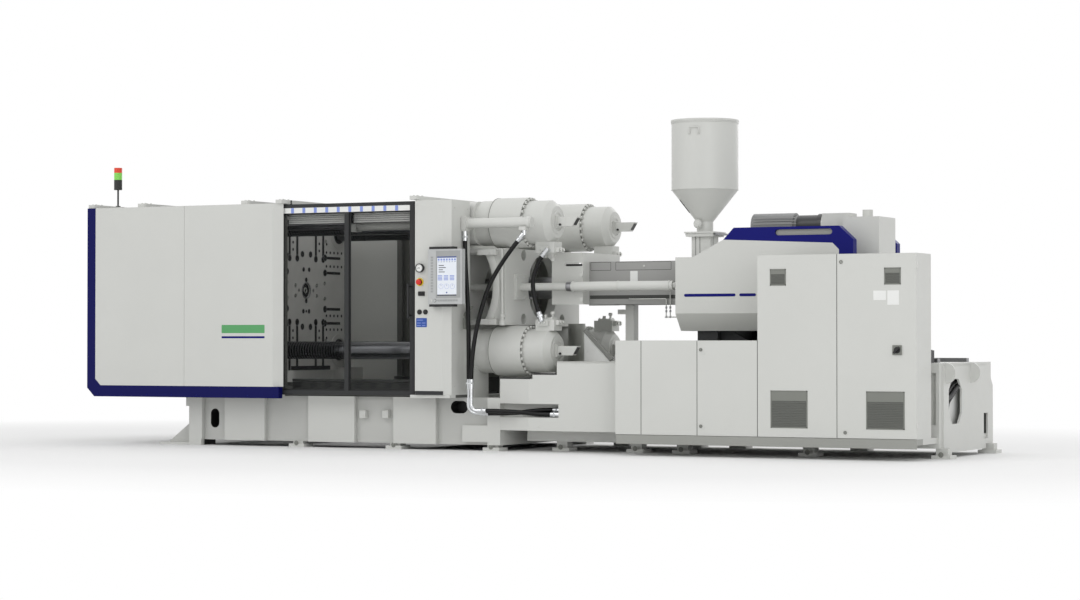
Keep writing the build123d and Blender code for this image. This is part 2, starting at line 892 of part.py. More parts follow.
# Moving platen
with BuildPart() as movable_platen:
    with BuildSketch(Plane.YZ.offset(moving_back)):
        with Locations((0, axis_height)):
            RectangleRounded(2 * platen_half_width, platen_height, platen_corner)
    extrude(amount=platen_thickness)
    for side in (-1, 1):
        leg_x = (moving_back - platen_leg_back, moving_face + platen_leg_overhang)
        block(leg_x, (side * platen_leg_inner, side * platen_leg_outer), (shoe_top, platen_leg_top))
    for y, z in shift_places:
        outer = math.copysign(platen_half_width + bracket_reach, y)
        root = math.copysign(platen_half_width, y)
        bracket_z = (z - bracket_height / 2, z + bracket_height / 2)
        block((bracket_end - bracket_length, bracket_end), (root, outer), bracket_z)
    for y, z in bar_places:
        rod("x", moving_back, moving_face, (y, z), bar_bore_radius, mode=Mode.SUBTRACT)
        seat_y = (y - guide_half, y + guide_half)
        seat_z = (z - guide_half, z + guide_half)
        block((moving_face - guide_ring_seat, moving_face), seat_y, seat_z, mode=Mode.SUBTRACT)
    half = pocket_size / 2
    block((moving_back, moving_back + pocket_depth), (-half, half), (axis_height - half, axis_height + half), mode=Mode.SUBTRACT)
    rod("x", moving_back + pocket_depth, moving_face, (0, axis_height), locating_radius, mode=Mode.SUBTRACT)
    for y in (-ejector_spacing / 2, ejector_spacing / 2):
        rod("x", moving_back + pocket_depth, moving_face, (y, axis_height), ejector_rod + running_gap, mode=Mode.SUBTRACT)
    mould_face(moving_face, -1)
save(movable_platen, "movable_platen")

# Slide shoes and guide rings of the moving platen
with BuildPart() as platen_guides:
    for side in (-1, 1):
        shoe_x = (moving_back - platen_leg_back, moving_face + shoe_overhang)
        block(shoe_x, (side * way_inner_y, side * way_outer_y), (way_top + running_gap, shoe_top))
    ring_x = moving_face - guide_ring_seat
    for y, z in bar_places:
        block(
            (ring_x, ring_x + guide_ring_length), (y - guide_half, y + guide_half), (z - guide_half, z + guide_half)
        )
        rod("x", ring_x, ring_x + guide_ring_length, (y, z), bar_radius + running_gap, mode=Mode.SUBTRACT)
save(platen_guides, "platen_guides")

# Shift cylinders and the rods that they move
shift_gland_end = shift_head_start + shift_head_length
with BuildPart() as shift_cylinders:
    for y, z in shift_places:
        flange_end = shift_flange_start + shift_flange_length
        profile = (
            (shift_head_start, shift_rod + running_gap), (shift_head_start, shift_outer), (shift_end, shift_outer),
            (shift_end, 0), (shift_end - shift_end_wall, 0), (shift_end - shift_end_wall, shift_bore),
            (shift_gland_end, shift_bore), (shift_gland_end, shift_rod + running_gap),
        )
        turned(profile, y, z)
        for start, length, half in ((shift_head_start, shift_head_length, shift_head_half), (shift_flange_start, shift_flange_length, shift_flange_half)):
            block((start, start + length), (y - half, y + half), (z - half, z + half))
            rod("x", start, start + length, (y, z), shift_outer - 1, mode=Mode.SUBTRACT)
        turned(profile, y, z)
        lug_z = (z - shift_lug_height / 2, z + shift_lug_height / 2)
        root = math.copysign(platen_half_width, y)
        lug_end = math.copysign(abs(y) - shift_outer + 2, y)
        block((shift_flange_start, shift_flange_start + shift_lug), (root, lug_end), lug_z)
    # Oil ports of the cylinder on the operator's side
    port_low = shift_high - shift_port_height
    port_y = (-shift_y - shift_outer - 8, -shift_y + shift_outer / 2)
    block((shift_flange_start, shift_flange_start + shift_flange_length), port_y, (port_low, shift_high - shift_bore - 5))
    block((shift_end - 120, shift_end - 45), port_y, (port_low, shift_high - shift_bore - 5))
save(shift_cylinders, "shift_cylinders")

with BuildPart() as shift_rods:
    rod_end = shift_gland_end + 60
    piston_front = rod_end - shift_piston_length
    profile = (
        (bracket_end, 0), (bracket_end, shift_rod), (piston_front, shift_rod),
        (piston_front, shift_piston), (rod_end, shift_piston), (rod_end, 0),
    )
    for y, z in shift_places:
        turned(profile, y, z)
save(shift_rods, "shift_rods")

# Ejector plate and rods
with BuildPart() as ejector:
    plate_start = moving_back - ejector_proud
    plate_end = plate_start + ejector_plate
    half = ejector_side / 2
    block((plate_start, plate_end), (-half, half), (axis_height - half, axis_height + half))
    for y in (-ejector_spacing / 2, ejector_spacing / 2):
        rod("x", plate_end, moving_face - ejector_recess, (y, axis_height), ejector_rod)
save(ejector, "ejector")


def jaw_frame(side):
    """One sliding frame: side -1 holds the halves on the operator's side of each bar."""
    groove = ring_pitch - ring_width
    tooth_low = ring_root_radius + jaw_tooth_gap
    tooth_high = bar_radius + jaw_tooth_gap
    first = math.ceil((jaw_start + lock_travel - ring_start) / ring_pitch)
    cutter = [(jaw_start, 0), (jaw_start, tooth_high)]
    for number in range(first, first + jaw_teeth):
        start = ring_start + number * ring_pitch - lock_travel + jaw_tooth_side_gap
        end = start + groove - 2 * jaw_tooth_side_gap
        cutter += [(start, tooth_high), (start, tooth_low), (end, tooth_low), (end, tooth_high)]
    cutter += [(jaw_end, tooth_high), (jaw_end, 0)]
    low = bar_low - jaw_half_height
    high = bar_high + jaw_half_height
    inner = side * (jaw_stroke + jaw_part_gap)
    outer = side * (jaw_stroke + jaw_depth)
    stile = side * (jaw_stroke + jaw_depth - jaw_stile)
    x = (jaw_start, jaw_end)
    for y, z in bar_places:
        block(x, (y + outer, y + inner), (z - jaw_half_height, z + jaw_half_height))
    for y in (-bar_y, bar_y):
        block(x, (y + outer, y + stile), (low, high))
    reach = (-bar_y + outer, bar_y + stile) if side < 0 else (-bar_y + stile, bar_y + outer)
    if side < 0:
        beam = (high + jaw_beam_clearance, high + jaw_beam_clearance + jaw_top_beam)
        block(x, reach, beam)
        for y in (-bar_y, bar_y):
            block(x, (y + outer, y + stile), (high, beam[0]))
    else:
        beam = (low - jaw_beam_clearance - jaw_bottom_beam, low - jaw_beam_clearance)
        block(x, reach, beam)
        for y in (-bar_y, bar_y):
            block(x, (y + outer, y + stile), (beam[1], low))
    for y, z in bar_places:
        turned(cutter, y + side * jaw_stroke, z, mode=Mode.SUBTRACT)


# Lock jaws
with BuildPart() as lock_jaws_front:
    jaw_frame(-1)
save(lock_jaws_front, "lock_jaws_front")

with BuildPart() as lock_jaws_rear:
    jaw_frame(1)
save(lock_jaws_rear, "lock_jaws_rear")

# Guard panels: folded sheets front and rear, an end sheet and the cover behind the rear gate
panel_left = x_left + trim_side
panel_low = guard_bottom + trim_bottom
seam_x = x_left + panel_seam_to_left
panel_right = x_left + panel_end_to_left
guard_inner = guard_half_width - guard_fold
with BuildPart() as guard_panels:
    for side in (-1, 1):
        left_outline = (
            (panel_left, guard_top), (panel_left, panel_low + trim_inner_chamfer),
            (panel_left + trim_inner_chamfer, panel_low), (seam_x - panel_seam / 2, panel_low),
            (seam_x - panel_seam / 2, guard_top),
        )
        folded_panel(left_outline, side * guard_half_width, side * guard_inner, sheet)
        start = seam_x + panel_seam / 2
        outline = (
            (start, side * guard_inner), (start, side * guard_half_width),
            (panel_right - panel_bevel, side * guard_half_width), (panel_right, side * guard_inner),
        )
        plan_profile(outline, (panel_low, guard_top))
        hollow = (
            (start + sheet, side * guard_inner), (start + sheet, side * (guard_half_width - sheet)),
            (panel_right - panel_bevel - sheet / 2, side * (guard_half_width - sheet)),
            (panel_right - 1.5 * sheet, side * guard_inner),
        )
        plan_profile(hollow, (panel_low + sheet, guard_top - sheet), mode=Mode.SUBTRACT)
    block((x_left, x_left + sheet), (-guard_inner, guard_inner), (panel_low, guard_top))
    rear_z = (bed_top + column_plate, column_top)
    block((column_left, column_right), (column_inner_y, guard_half_width), rear_z)
    wall = rear_cover_wall
    hollow_x = (column_left + wall, column_right - wall)
    hollow_z = (bed_top + column_plate, column_top - wall)
    block(hollow_x, (column_inner_y, guard_half_width - wall), hollow_z, mode=Mode.SUBTRACT)
    rod("x", column_left, column_right, (shift_y, shift_low), column_hole, mode=Mode.SUBTRACT)
save(guard_panels, "guard_panels")

# Corner trims of the guards
with BuildPart() as guard_trims:
    trim_right = x_left + trim_end_to_left
    trim_outline = (
        (x_left, guard_top), (x_left, guard_bottom + trim_chamfer), (x_left + trim_chamfer, guard_bottom),
        (trim_right, guard_bottom), (trim_right, panel_low), (panel_left + trim_inner_chamfer, panel_low),
        (panel_left, panel_low + trim_inner_chamfer), (panel_left, guard_top),
    )
    for side in (-1, 1):
        folded_panel(trim_outline, side * guard_half_width, side * guard_inner, sheet)
save(guard_trims, "guard_trims")

# Frame that carries the guards and guides the gates
with BuildPart() as guard_frame:
    frame_inner_y = frame_outer_y - post_depth
    plate_top = bed_top + base_plate
    frame_left = x_left + post_offsets[0]
    frame_right = x_left + post_offsets[2] + post_width
    for side in (-1, 1):
        y = (side * frame_inner_y, side * frame_outer_y)
        block((frame_left, frame_right), y, (plate_top, plate_top + rail_bottom_height))
        block((frame_left, frame_right), y, (rail_top_level, rail_top_level + rail_top_height))
        for distance in post_offsets:
            x = x_left + distance
            block((x, x + post_width), y, (plate_top, rail_top_level))
        for distance in cross_offsets:
            x = x_left + distance
            block((x - post_width / 2, x + post_width / 2), y, (rail_top_level, guard_top))
        for start, end in base_plate_lengths:
            plate_y = (side * base_plate_inner, side * guard_inner)
            block((x_face + start, x_face + end), plate_y, (bed_top, plate_top))
        foot_y = (side * base_plate_inner, side * column_plate_outer)
        block((frame_right - post_width, column_right), foot_y, (bed_top, bed_top + column_plate))
        tab_y = (side * frame_outer_y, side * guard_inner)
        for level in (panel_low + 150, rail_top_level):
            block((frame_left, frame_left + post_width), tab_y, (level, level + rail_top_height))
    for distance in cross_offsets:
        x = x_left + distance
        cross_y = (-cross_half_length, cross_half_length)
        block((x - cross_width / 2, x + cross_width / 2), cross_y, (guard_top, guard_top + cross_height))
save(guard_frame, "guard_frame")

# Front gate: black frame, two panes and a grab handle
gate_x = (gate_start, gate_end)
gate_y = (-gate_outer_y, -gate_inner_y)
mullion_x = gate_start + gate_mullion_offset
pane_low = gate_bottom + gate_bottom_member
pane_high = gate_top - gate_top_member
with BuildPart() as front_gate:
    block(gate_x, gate_y, (gate_bottom, gate_top))
    left_light = (gate_start + gate_stile, mullion_x)
    right_light = (mullion_x + gate_mullion, gate_end - gate_stile)
    for light in (left_light, right_light):
        block(light, gate_y, (pane_low, pane_high), mode=Mode.SUBTRACT)
    handle_x = gate_end - gate_handle_offset
    handle_y = -gate_outer_y - gate_handle_reach
    rod("z", gate_handle_low, gate_handle_high, (handle_x, handle_y), gate_handle_radius)
    for level in (gate_handle_low + 30, gate_handle_high - 30):
        rod("y", handle_y, -gate_outer_y, (handle_x, level), gate_handle_stub)
save(front_gate, "front_gate")

with BuildPart() as front_gate_panes:
    pane_y = -gate_inner_y - gate_depth / 2
    for light in (left_light, right_light):
        block(light, (pane_y - gate_pane / 2, pane_y + gate_pane / 2), (pane_low, pane_high))
save(front_gate_panes, "front_gate_panes")

# Rear gate: a closed folded sheet
with BuildPart() as rear_gate:
    block(gate_x, (gate_inner_y, gate_outer_y), (gate_bottom, gate_top))
    hollow_x = (gate_start + sheet, gate_end - sheet)
    hollow_z = (gate_bottom + sheet, gate_top - sheet)
    block(hollow_x, (gate_inner_y, gate_outer_y - sheet), hollow_z, mode=Mode.SUBTRACT)
    rod("z", gate_handle_low, gate_handle_high, (handle_x, -handle_y), gate_handle_radius)
    for level in (gate_handle_low + 30, gate_handle_high - 30):
        rod("y", gate_outer_y, -handle_y, (handle_x, level), gate_handle_stub)
save(rear_gate, "rear_gate")

# Operator's column: a sheet cover, open at the back and below
with BuildPart() as control_column:
    front = -guard_half_width
    outline = (
        (column_left, -column_inner_y), (column_left, front), (column_right - column_bevel_x, front),
        (column_right, front + column_bevel_y), (column_right, -column_inner_y),
    )
    column_low = bed_top + column_plate
    plan_profile(outline, (column_low, column_top))
    wall = column_wall
    hollow = (
        (column_left + wall, -column_inner_y), (column_left + wall, front + wall),
        (column_right - column_bevel_x - wall / 2, front + wall),
        (column_right - wall, front + column_bevel_y + wall / 2), (column_right - wall, -column_inner_y),
    )
    plan_profile(hollow, (column_low, column_top - wall), mode=Mode.SUBTRACT)
    rod("x", column_left, column_right, (-shift_y, shift_high), column_hole, mode=Mode.SUBTRACT)
save(control_column, "control_column")

# Fittings on the column: gauge, switch rings, socket, bezels, screen brackets and lever
screen_x = x_face + screen_left
screen_back = -guard_half_width - screen_stand_off
screen_front = screen_back - screen_depth
pivot = (screen_x + screen_pivot, screen_front + screen_pivot_y)
with BuildPart() as column_fittings:
    front = -guard_half_width
    rod("y", front - gauge_depth, front, (x_face + gauge_place[0], gauge_place[1]), gauge_radius)
    stop = (x_face + stop_place[0], stop_place[1])
    rod("y", front - stop_ring, front, stop, stop_radius)
    rod("y", front - stop_ring, front, stop, stop_shank + running_gap, mode=Mode.SUBTRACT)
    socket_x = x_face + socket_place[0]
    half_x = socket_size[0] / 2
    half_z = socket_size[1] / 2
    block((socket_x - half_x, socket_x + half_x), (front - socket_depth, front), (socket_place[1] - half_z, socket_place[1] + half_z))
    for distance in button_places:
        place = (x_face + distance, button_level)
        rod("y", front - button_bezel_height, front, place, button_bezel)
        rod("y", front - button_bezel_height, front, place, button_radius + running_gap, mode=Mode.SUBTRACT)
    bar_x = (screen_x + 7, screen_x + 7 + bracket_bar_length)
    low_bar = (screen_low - running_gap - bracket_bar, screen_low - running_gap)
    high_bar = (screen_high + running_gap, screen_high + running_gap + bracket_bar)
    for level in (low_bar, high_bar):
        block(bar_x, (front - bracket_bar_depth, front), level)
    lever_x = (column_right, column_right + lever_reach)
    block(lever_x, (-1000, -980), (1470, 1490))
    lever = ((-980, 1490), (-1000, 1490), (-1160, 1400), (-1160, 1265), (-1140, 1265), (-1140, 1390), (-980, 1478))
    end_profile(lever, (column_right + lever_reach - lever_thickness, column_right + lever_reach))
save(column_fittings, "column_fittings")

# Operator's screen
with BuildPart() as hmi:
    block((screen_x, screen_x + screen_width), (screen_front, screen_back), (screen_low, screen_high))
    glass_x = (screen_x + screen_glass_start, screen_x + screen_width - screen_bezel)
    glass_z = (screen_low + screen_glass_low, screen_high - screen_bezel)
    block(glass_x, (screen_front, screen_front + 3), glass_z, mode=Mode.SUBTRACT)
    for distance in screen_knobs:
        place = (screen_x + distance, screen_low + screen_knob_level)
        rod("y", screen_front - screen_knob_height, screen_front, place, screen_knob_radius)
save(hmi, "hmi")

# Emergency stop and push buttons
with BuildPart() as estop_button:
    cap_back = -guard_half_width - stop_ring - stop_stroke - 1
    rod("y", cap_back, -guard_half_width - stop_stroke - running_gap, stop, stop_shank)
    rod("y", cap_back - stop_cap_height, cap_back, stop, stop_cap)
save(estop_button, "estop_button")

for name, distance in (("left_push_button", button_places[0]), ("right_push_button", button_places[1])):
    with BuildPart() as push_button:
        place = (x_face + distance, button_level)
        button_back = -guard_half_width - button_stroke - running_gap
        rod("y", button_back - button_height, button_back, place, button_radius)
    save(push_button, name)

# Signal tower
with BuildPart() as signal_tower:
    tower = (x_left + tower_offset, tower_y)
    tower_floor = guard_top + cross_height
    pole_foot = tower_floor + tower_base_height
    pole_top = tower_floor + tower_pole_height
    rod("z", tower_floor, pole_foot, tower, tower_base / 2 + 5)
    rod("z", pole_foot, pole_top, tower, tower_pole)
    rod("z", pole_top, pole_top + tower_black + tower_green + tower_red, tower, tower_radius)
save(signal_tower, "signal_tower")

# Injection base with its plinth, end plate, barrel support and connection box
base_left = x_face + base_start_to_face
plate_x = x_right - end_plate_inset
cabinet_left = x_face + cabinet_offset
with BuildPart() as injection_base:
    base_y = (-base_half_width, base_half_width)
    block((base_left, plate_x - end_plate), base_y, (base_bottom, base_step_level))
    block((base_left + base_step_length, plate_x - end_plate), base_y, (base_step_level, base_top))
    bay_x = (plate_x - end_plate - end_bay, plate_x - end_plate)
    bay_y = (-end_bay_half_width, end_bay_half_width)
    block(bay_x, bay_y, (end_bay_low, end_bay_high), mode=Mode.SUBTRACT)
    recess_start = plate_x - end_plate - 102
    for side in (-1, 1):
        recess_y = (side * (base_half_width - side_recess_depth), side * base_half_width)
        block((recess_start, recess_start + side_recess_width), recess_y, (327, 824), mode=Mode.SUBTRACT)
    plinth_x = (cabinet_left, x_right - plinth_end_inset)
    block(plinth_x, (-plinth_outer, -base_half_width), (plinth_low, cabinet_bottom))
    plate_outline = (
        (-752, base_bottom), (-600, base_bottom), (-600, 54), (600, 54), (600, base_bottom),
        (838, base_bottom), (838, 683), (650, 888), (-752, 888),
    )
    end_profile(plate_outline, (plate_x - end_plate, plate_x))
    octagon = (
        (-598, 430), (-494, 326), (-292, 326), (-188, 430), (-188, 658), (-292, 762), (-494, 762), (-598, 658),
    )
    end_profile(octagon, (plate_x - end_plate, plate_x), mode=Mode.SUBTRACT)
    block((plate_x - end_plate, plate_x), (531, 664), (154, 409), mode=Mode.SUBTRACT)
    for lug_y in (-688, 105):
        lug_half = 14
        with BuildSketch(Plane.XZ.offset(-lug_y - lug_half)) as lug:
            with Locations((plate_x, 820)):
                Circle(end_plate_inset)
                Rectangle(2 * end_plate_inset, 2 * end_plate_inset, align=(Align.MAX, Align.CENTER), mode=Mode.SUBTRACT)
        extrude(lug.sketch, amount=2 * lug_half)
    support_x = x_face + support_offset
    support_y = (-support_half_depth, support_half_depth)
    block((support_x, support_x + support_width), support_y, (base_top, support_top))
    block((support_x - 90, support_x), (-support_half_depth, support_half_depth), (support_top - 95, support_top - 45))
    pipe_left = bed_right
    pipe_right = x_face + pipe_box_end_offset
    outline = (
        (base_left, -base_half_width), (pipe_left, -base_half_width), (pipe_left, -pipe_box_corner),
        (pipe_left + pipe_box_slant, -pipe_box_front), (pipe_right, -pipe_box_front), (pipe_right, -base_half_width),
    )
    plan_profile(outline, (pipe_box_bottom, pipe_box_top_low))
    step_x = pipe_left + pipe_box_step
    block((step_x, pipe_right), (-pipe_box_front, -base_half_width), (pipe_box_top_low, pipe_box_top_high))
    slot_x = (pipe_left, pipe_left + pipe_slot_length)
    slot_y = (-pipe_box_front, -pipe_box_front + pipe_slot_depth)
    block(slot_x, slot_y, (pipe_slot_low, pipe_slot_high), mode=Mode.SUBTRACT)
save(injection_base, "injection_base")


def grille(x, z):
    """Louvred grille in a cabinet door."""
    block(x, (-door_front, -door_front + sheet), z, mode=Mode.SUBTRACT)
    count = int((z[1] - z[0]) // slat_pitch)
    pitch = (z[1] - z[0]) / (count + 1)
    levels = [z[0] + (number + 1) * pitch for number in range(count)]
    with Locations(*[((x[0] + x[1]) / 2, -door_front + slat_depth / 2, level) for level in levels]):
        Box(x[1] - x[0], slat_depth, slat_thickness)


def door(left, right, low, high, lock):
    """Folded cabinet door with its lock."""
    outline = ((left, low), (right, low), (right, high), (left, high))
    folded_panel(outline, -door_front, -cabinet_front - running_gap, sheet)
    for level in lock[1]:
        rod("y", -door_front - lock_height, -door_front, (lock[0], level), lock_radius)


# Cabinets
door_front = cabinet_front + running_gap + door_depth
cabinet_middle = cabinet_left + low_cabinet_width
cabinet_right = cabinet_middle + tall_cabinet_width
cabinets = (
    ("low_cabinet", (cabinet_left, cabinet_middle), low_cabinet_top, base_half_width, low_panel_width),
    ("tall_cabinet", (cabinet_middle, cabinet_right), tall_cabinet_top, tall_cabinet_back, 0),
)
for name, x, top, back, panel in cabinets:
    with BuildPart() as cabinet:
        block(x, (-cabinet_front, -back), (cabinet_bottom, top))
        wall = cabinet_wall
        inside_x = (x[0] + wall, x[1] - wall)
        block(inside_x, (-cabinet_front, -back - wall), (cabinet_bottom + wall, top - wall), mode=Mode.SUBTRACT)
        if panel:
            panel_z = (cabinet_bottom + door_edge, top - door_edge)
            block((x[0], x[0] + panel), (-door_front, -cabinet_front), panel_z)
    save(cabinet, name)

# Doors of the low cabinet
low_split = cabinet_left + low_door_split
door_low = cabinet_bottom + door_edge
low_door_top = low_cabinet_top - door_edge
low_lock = (low_split + 65, (door_low + 76, low_door_top - 119))
with BuildPart() as low_left_door:
    low_door_left = cabinet_left + low_panel_width + door_gap
    door(low_door_left, low_split - door_gap, door_low, low_door_top, (low_split - 60, ()))
save(low_left_door, "low_left_door")

with BuildPart() as low_right_door:
    door(low_split + door_gap, cabinet_middle - door_gap, door_low, low_door_top, low_lock)
save(low_right_door, "low_right_door")

# Doors of the tall cabinet with their grilles
tall_split = cabinet_middle + tall_door_split
tall_door_top = tall_cabinet_top - door_edge
tall_lock = (tall_split + 40, (door_low + 68, tall_door_top - 72))
with BuildPart() as tall_left_door:
    door(cabinet_middle + door_gap, tall_split - door_gap, door_low, tall_door_top, (tall_split - 60, ()))
    grille((cabinet_middle + 131, cabinet_middle + 295), upper_grille)
    grille((cabinet_middle + 136, cabinet_middle + 514), lower_grille)
save(tall_left_door, "tall_left_door")

switch = (cabinet_right - switch_offset, switch_level)
with BuildPart() as tall_right_door:
    door(tall_split + door_gap, cabinet_right, door_low, tall_door_top, tall_lock)
    grille((cabinet_right - 316, cabinet_right - 152), upper_grille)
    grille((cabinet_right - 497, cabinet_right - 117), lower_grille)
    half = switch_plate / 2
    plate_y = (-door_front - switch_plate_height, -door_front)
    block((switch[0] - half, switch[0] + half), plate_y, (switch[1] - half, switch[1] + half))
save(tall_right_door, "tall_right_door")

with BuildPart() as main_switch:
    hub_back = -door_front - switch_plate_height - running_gap
    hub_front = hub_back - switch_hub_height
    rod("y", hub_front, hub_back, switch, switch_hub)
    with BuildSketch(Plane.XZ.offset(-hub_front)):
        with Locations(switch):
            Rectangle(switch_bar, switch_bar_width, rotation=45)
    extrude(amount=switch_bar_height)
save(main_switch, "main_switch")

# Carriage rods, fixed in the platen
with BuildPart() as carriage_rods:
    large_end = x_face + pull_large_offset
    piston_x = x_face + pull_piston_offset
    piston_radius = pull_bore - pull_piston_clearance
    profile = (
        (plate_back, 0), (plate_back, pull_rod_large), (large_end, pull_rod_large), (large_end, pull_rod),
        (piston_x, pull_rod), (piston_x, piston_radius), (piston_x + pull_piston_length, piston_radius),
        (piston_x + pull_piston_length, 0),
    )
    for side in (-1, 1):
        turned(profile, side * pull_y, axis_height)
save(carriage_rods, "carriage_rods")

# Cylinders that ride on those rods and pull the carriage
front_plate_x = x_face + front_plate_offset
with BuildPart() as carriage_cylinders:
    head_x = x_face + pull_head
    tail_x = x_face + pull_tail_offset
    gland_x = head_x + pull_gland
    profile = (
        (head_x, pull_rod + running_gap), (head_x, pull_outer), (tail_x, pull_outer), (tail_x, pull_rod),
        (front_plate_x, pull_rod), (front_plate_x, 0), (tail_x - pull_end_wall, 0),
        (tail_x - pull_end_wall, pull_bore), (gland_x, pull_bore), (gland_x, pull_rod + running_gap),
    )
    for side in (-1, 1):
        turned(profile, side * pull_y, axis_height)
save(carriage_cylinders, "carriage_cylinders")

# Injection carriage: base plate, front plate and the two injection cylinders
plate_low = base_top + rail_height + running_gap
plate_high = plate_low + carriage_plate
carriage_left = x_face + carriage_start
carriage_right = carriage_left + carriage_length
plate_end = front_plate_x + front_plate
with BuildPart() as injection_carriage:
    block((carriage_left, carriage_right), (-carriage_half_width, carriage_half_width), (plate_low, plate_high))
    outline = (
        (-front_plate_low_half, plate_high), (front_plate_low_half, plate_high),
        (front_plate_low_half, front_plate_shoulder), (front_plate_half, front_plate_shoulder),
        (front_plate_half, front_plate_top), (-front_plate_half, front_plate_top),
        (-front_plate_half, front_plate_shoulder), (-front_plate_low_half, front_plate_shoulder),
    )
    end_profile(outline, (front_plate_x, plate_end))
    rod("x", front_plate_x, plate_end, (0, axis_height), screw_radius + 10, mode=Mode.SUBTRACT)
    for side in (-1, 1):
        place = (side * injection_cylinder_y, axis_height)
        end = plate_end + injection_cylinder_length
        rod("x", plate_end, end, place, injection_cylinder_radius)
        rod("x", plate_end, end, place, injection_rod_radius + running_gap, mode=Mode.SUBTRACT)
        brace = ((plate_end, plate_high), (plate_end + 500, plate_high), (plate_end, front_plate_shoulder - 90))
        side_profile(brace, (side * 400, side * 440))
save(injection_carriage, "injection_carriage")

# Barrel with its nozzle and feed hole
nozzle_tip = x_face + nozzle_inset
barrel_left = nozzle_tip + nozzle_length
feed_x = x_face + feed_offset
screw_left = nozzle_tip + screw_start_inset
with BuildPart() as barrel:
    profile = (
        (nozzle_tip, nozzle_bore), (nozzle_tip, nozzle_small), (barrel_left, nozzle_large),
        (barrel_left, barrel_radius), (front_plate_x, barrel_radius), (front_plate_x, barrel_bore),
        (screw_left - 10, barrel_bore), (screw_left - 60, nozzle_bore),
    )
    turned(profile, 0, axis_height)
    rod("z", axis_height, axis_height + barrel_radius, (feed_x, 0), feed_radius - 8, mode=Mode.SUBTRACT)
save(barrel, "barrel")

# Screw
cylinder_end = plate_end + injection_cylinder_length
drive_left = cylinder_end + drive_gap
with BuildPart() as screw:
    profile = (
        (screw_left, 0), (screw_left + 60, screw_radius - 10), (screw_left + 70, screw_radius),
        (front_plate_x + 60, screw_radius), (front_plate_x + 60, screw_radius - 10),
        (drive_left - running_gap, screw_radius - 10), (drive_left - running_gap, 0),
    )
    turned(profile, 0, axis_height)
save(screw, "screw")

# Heater bands
with BuildPart() as heater_bands:
    for number in range(band_count):
        start = x_face + band_offset + number * band_pitch
        rod("x", start, start + band_length, (0, axis_height), band_radius)
        rod("x", start, start + band_length, (0, axis_height), barrel_radius, mode=Mode.SUBTRACT)
save(heater_bands, "heater_bands")

# Drive head: plate, screw motor and the rods in the injection cylinders
with BuildPart() as drive_head:
    plate_x2 = drive_left + drive_plate
    block((drive_left, plate_x2), (-drive_plate_half_width, drive_plate_half_width), (drive_plate_low, drive_plate_high))
    rod("x", plate_x2, plate_x2 + motor_length, (0, axis_height), motor_radius)
    for side in (-1, 1):
        rod("x", plate_end + injection_rod_inset, drive_left, (side * injection_cylinder_y, axis_height), injection_rod_radius)
save(drive_head, "drive_head")

# Guard over the barrel, open below
guard_left = x_face + guard_start
guard_right = x_face + guard_end
barrel_hole = band_radius + 5
throat_notch = (-throat_side / 2 - 15, throat_side / 2 + 15)
with BuildPart() as barrel_guard:
    block((guard_left, guard_right), (-guard_half, guard_half), (guard_low, guard_high))
    wall = cover_wall
    inside_x = (guard_left + wall, guard_right - wall)
    block(inside_x, (-guard_half + wall, guard_half - wall), (guard_low, guard_high - wall), mode=Mode.SUBTRACT)
    rod("x", guard_left, guard_right, (0, axis_height), barrel_hole, mode=Mode.SUBTRACT)
    notch_x = (feed_x - throat_side / 2 - 15, guard_right)
    block(notch_x, throat_notch, (axis_height, guard_high), mode=Mode.SUBTRACT)
save(barrel_guard, "barrel_guard")

# Purge guard that slides back over the barrel guard
with BuildPart() as purge_guard:
    purge_left = guard_left - purge_length
    block((purge_left, guard_left + 2), (-purge_half, purge_half), (guard_low, purge_high))
    inside_y = (-purge_half + wall, purge_half - wall)
    block((purge_left, guard_left + 2 - wall), inside_y, (guard_low, purge_high - wall), mode=Mode.SUBTRACT)
    fit = guard_half + 0.5
    block((purge_left, guard_left + 2), (-fit, fit), (guard_low, guard_high + 0.5), mode=Mode.SUBTRACT)
    slot_x = (guard_left - 20 - purge_slot_length, guard_left - 20)
    slot_z = (purge_slot_level, purge_slot_level + purge_slot_height)
    block(slot_x, (-purge_half, purge_half), slot_z, mode=Mode.SUBTRACT)
save(purge_guard, "purge_guard")

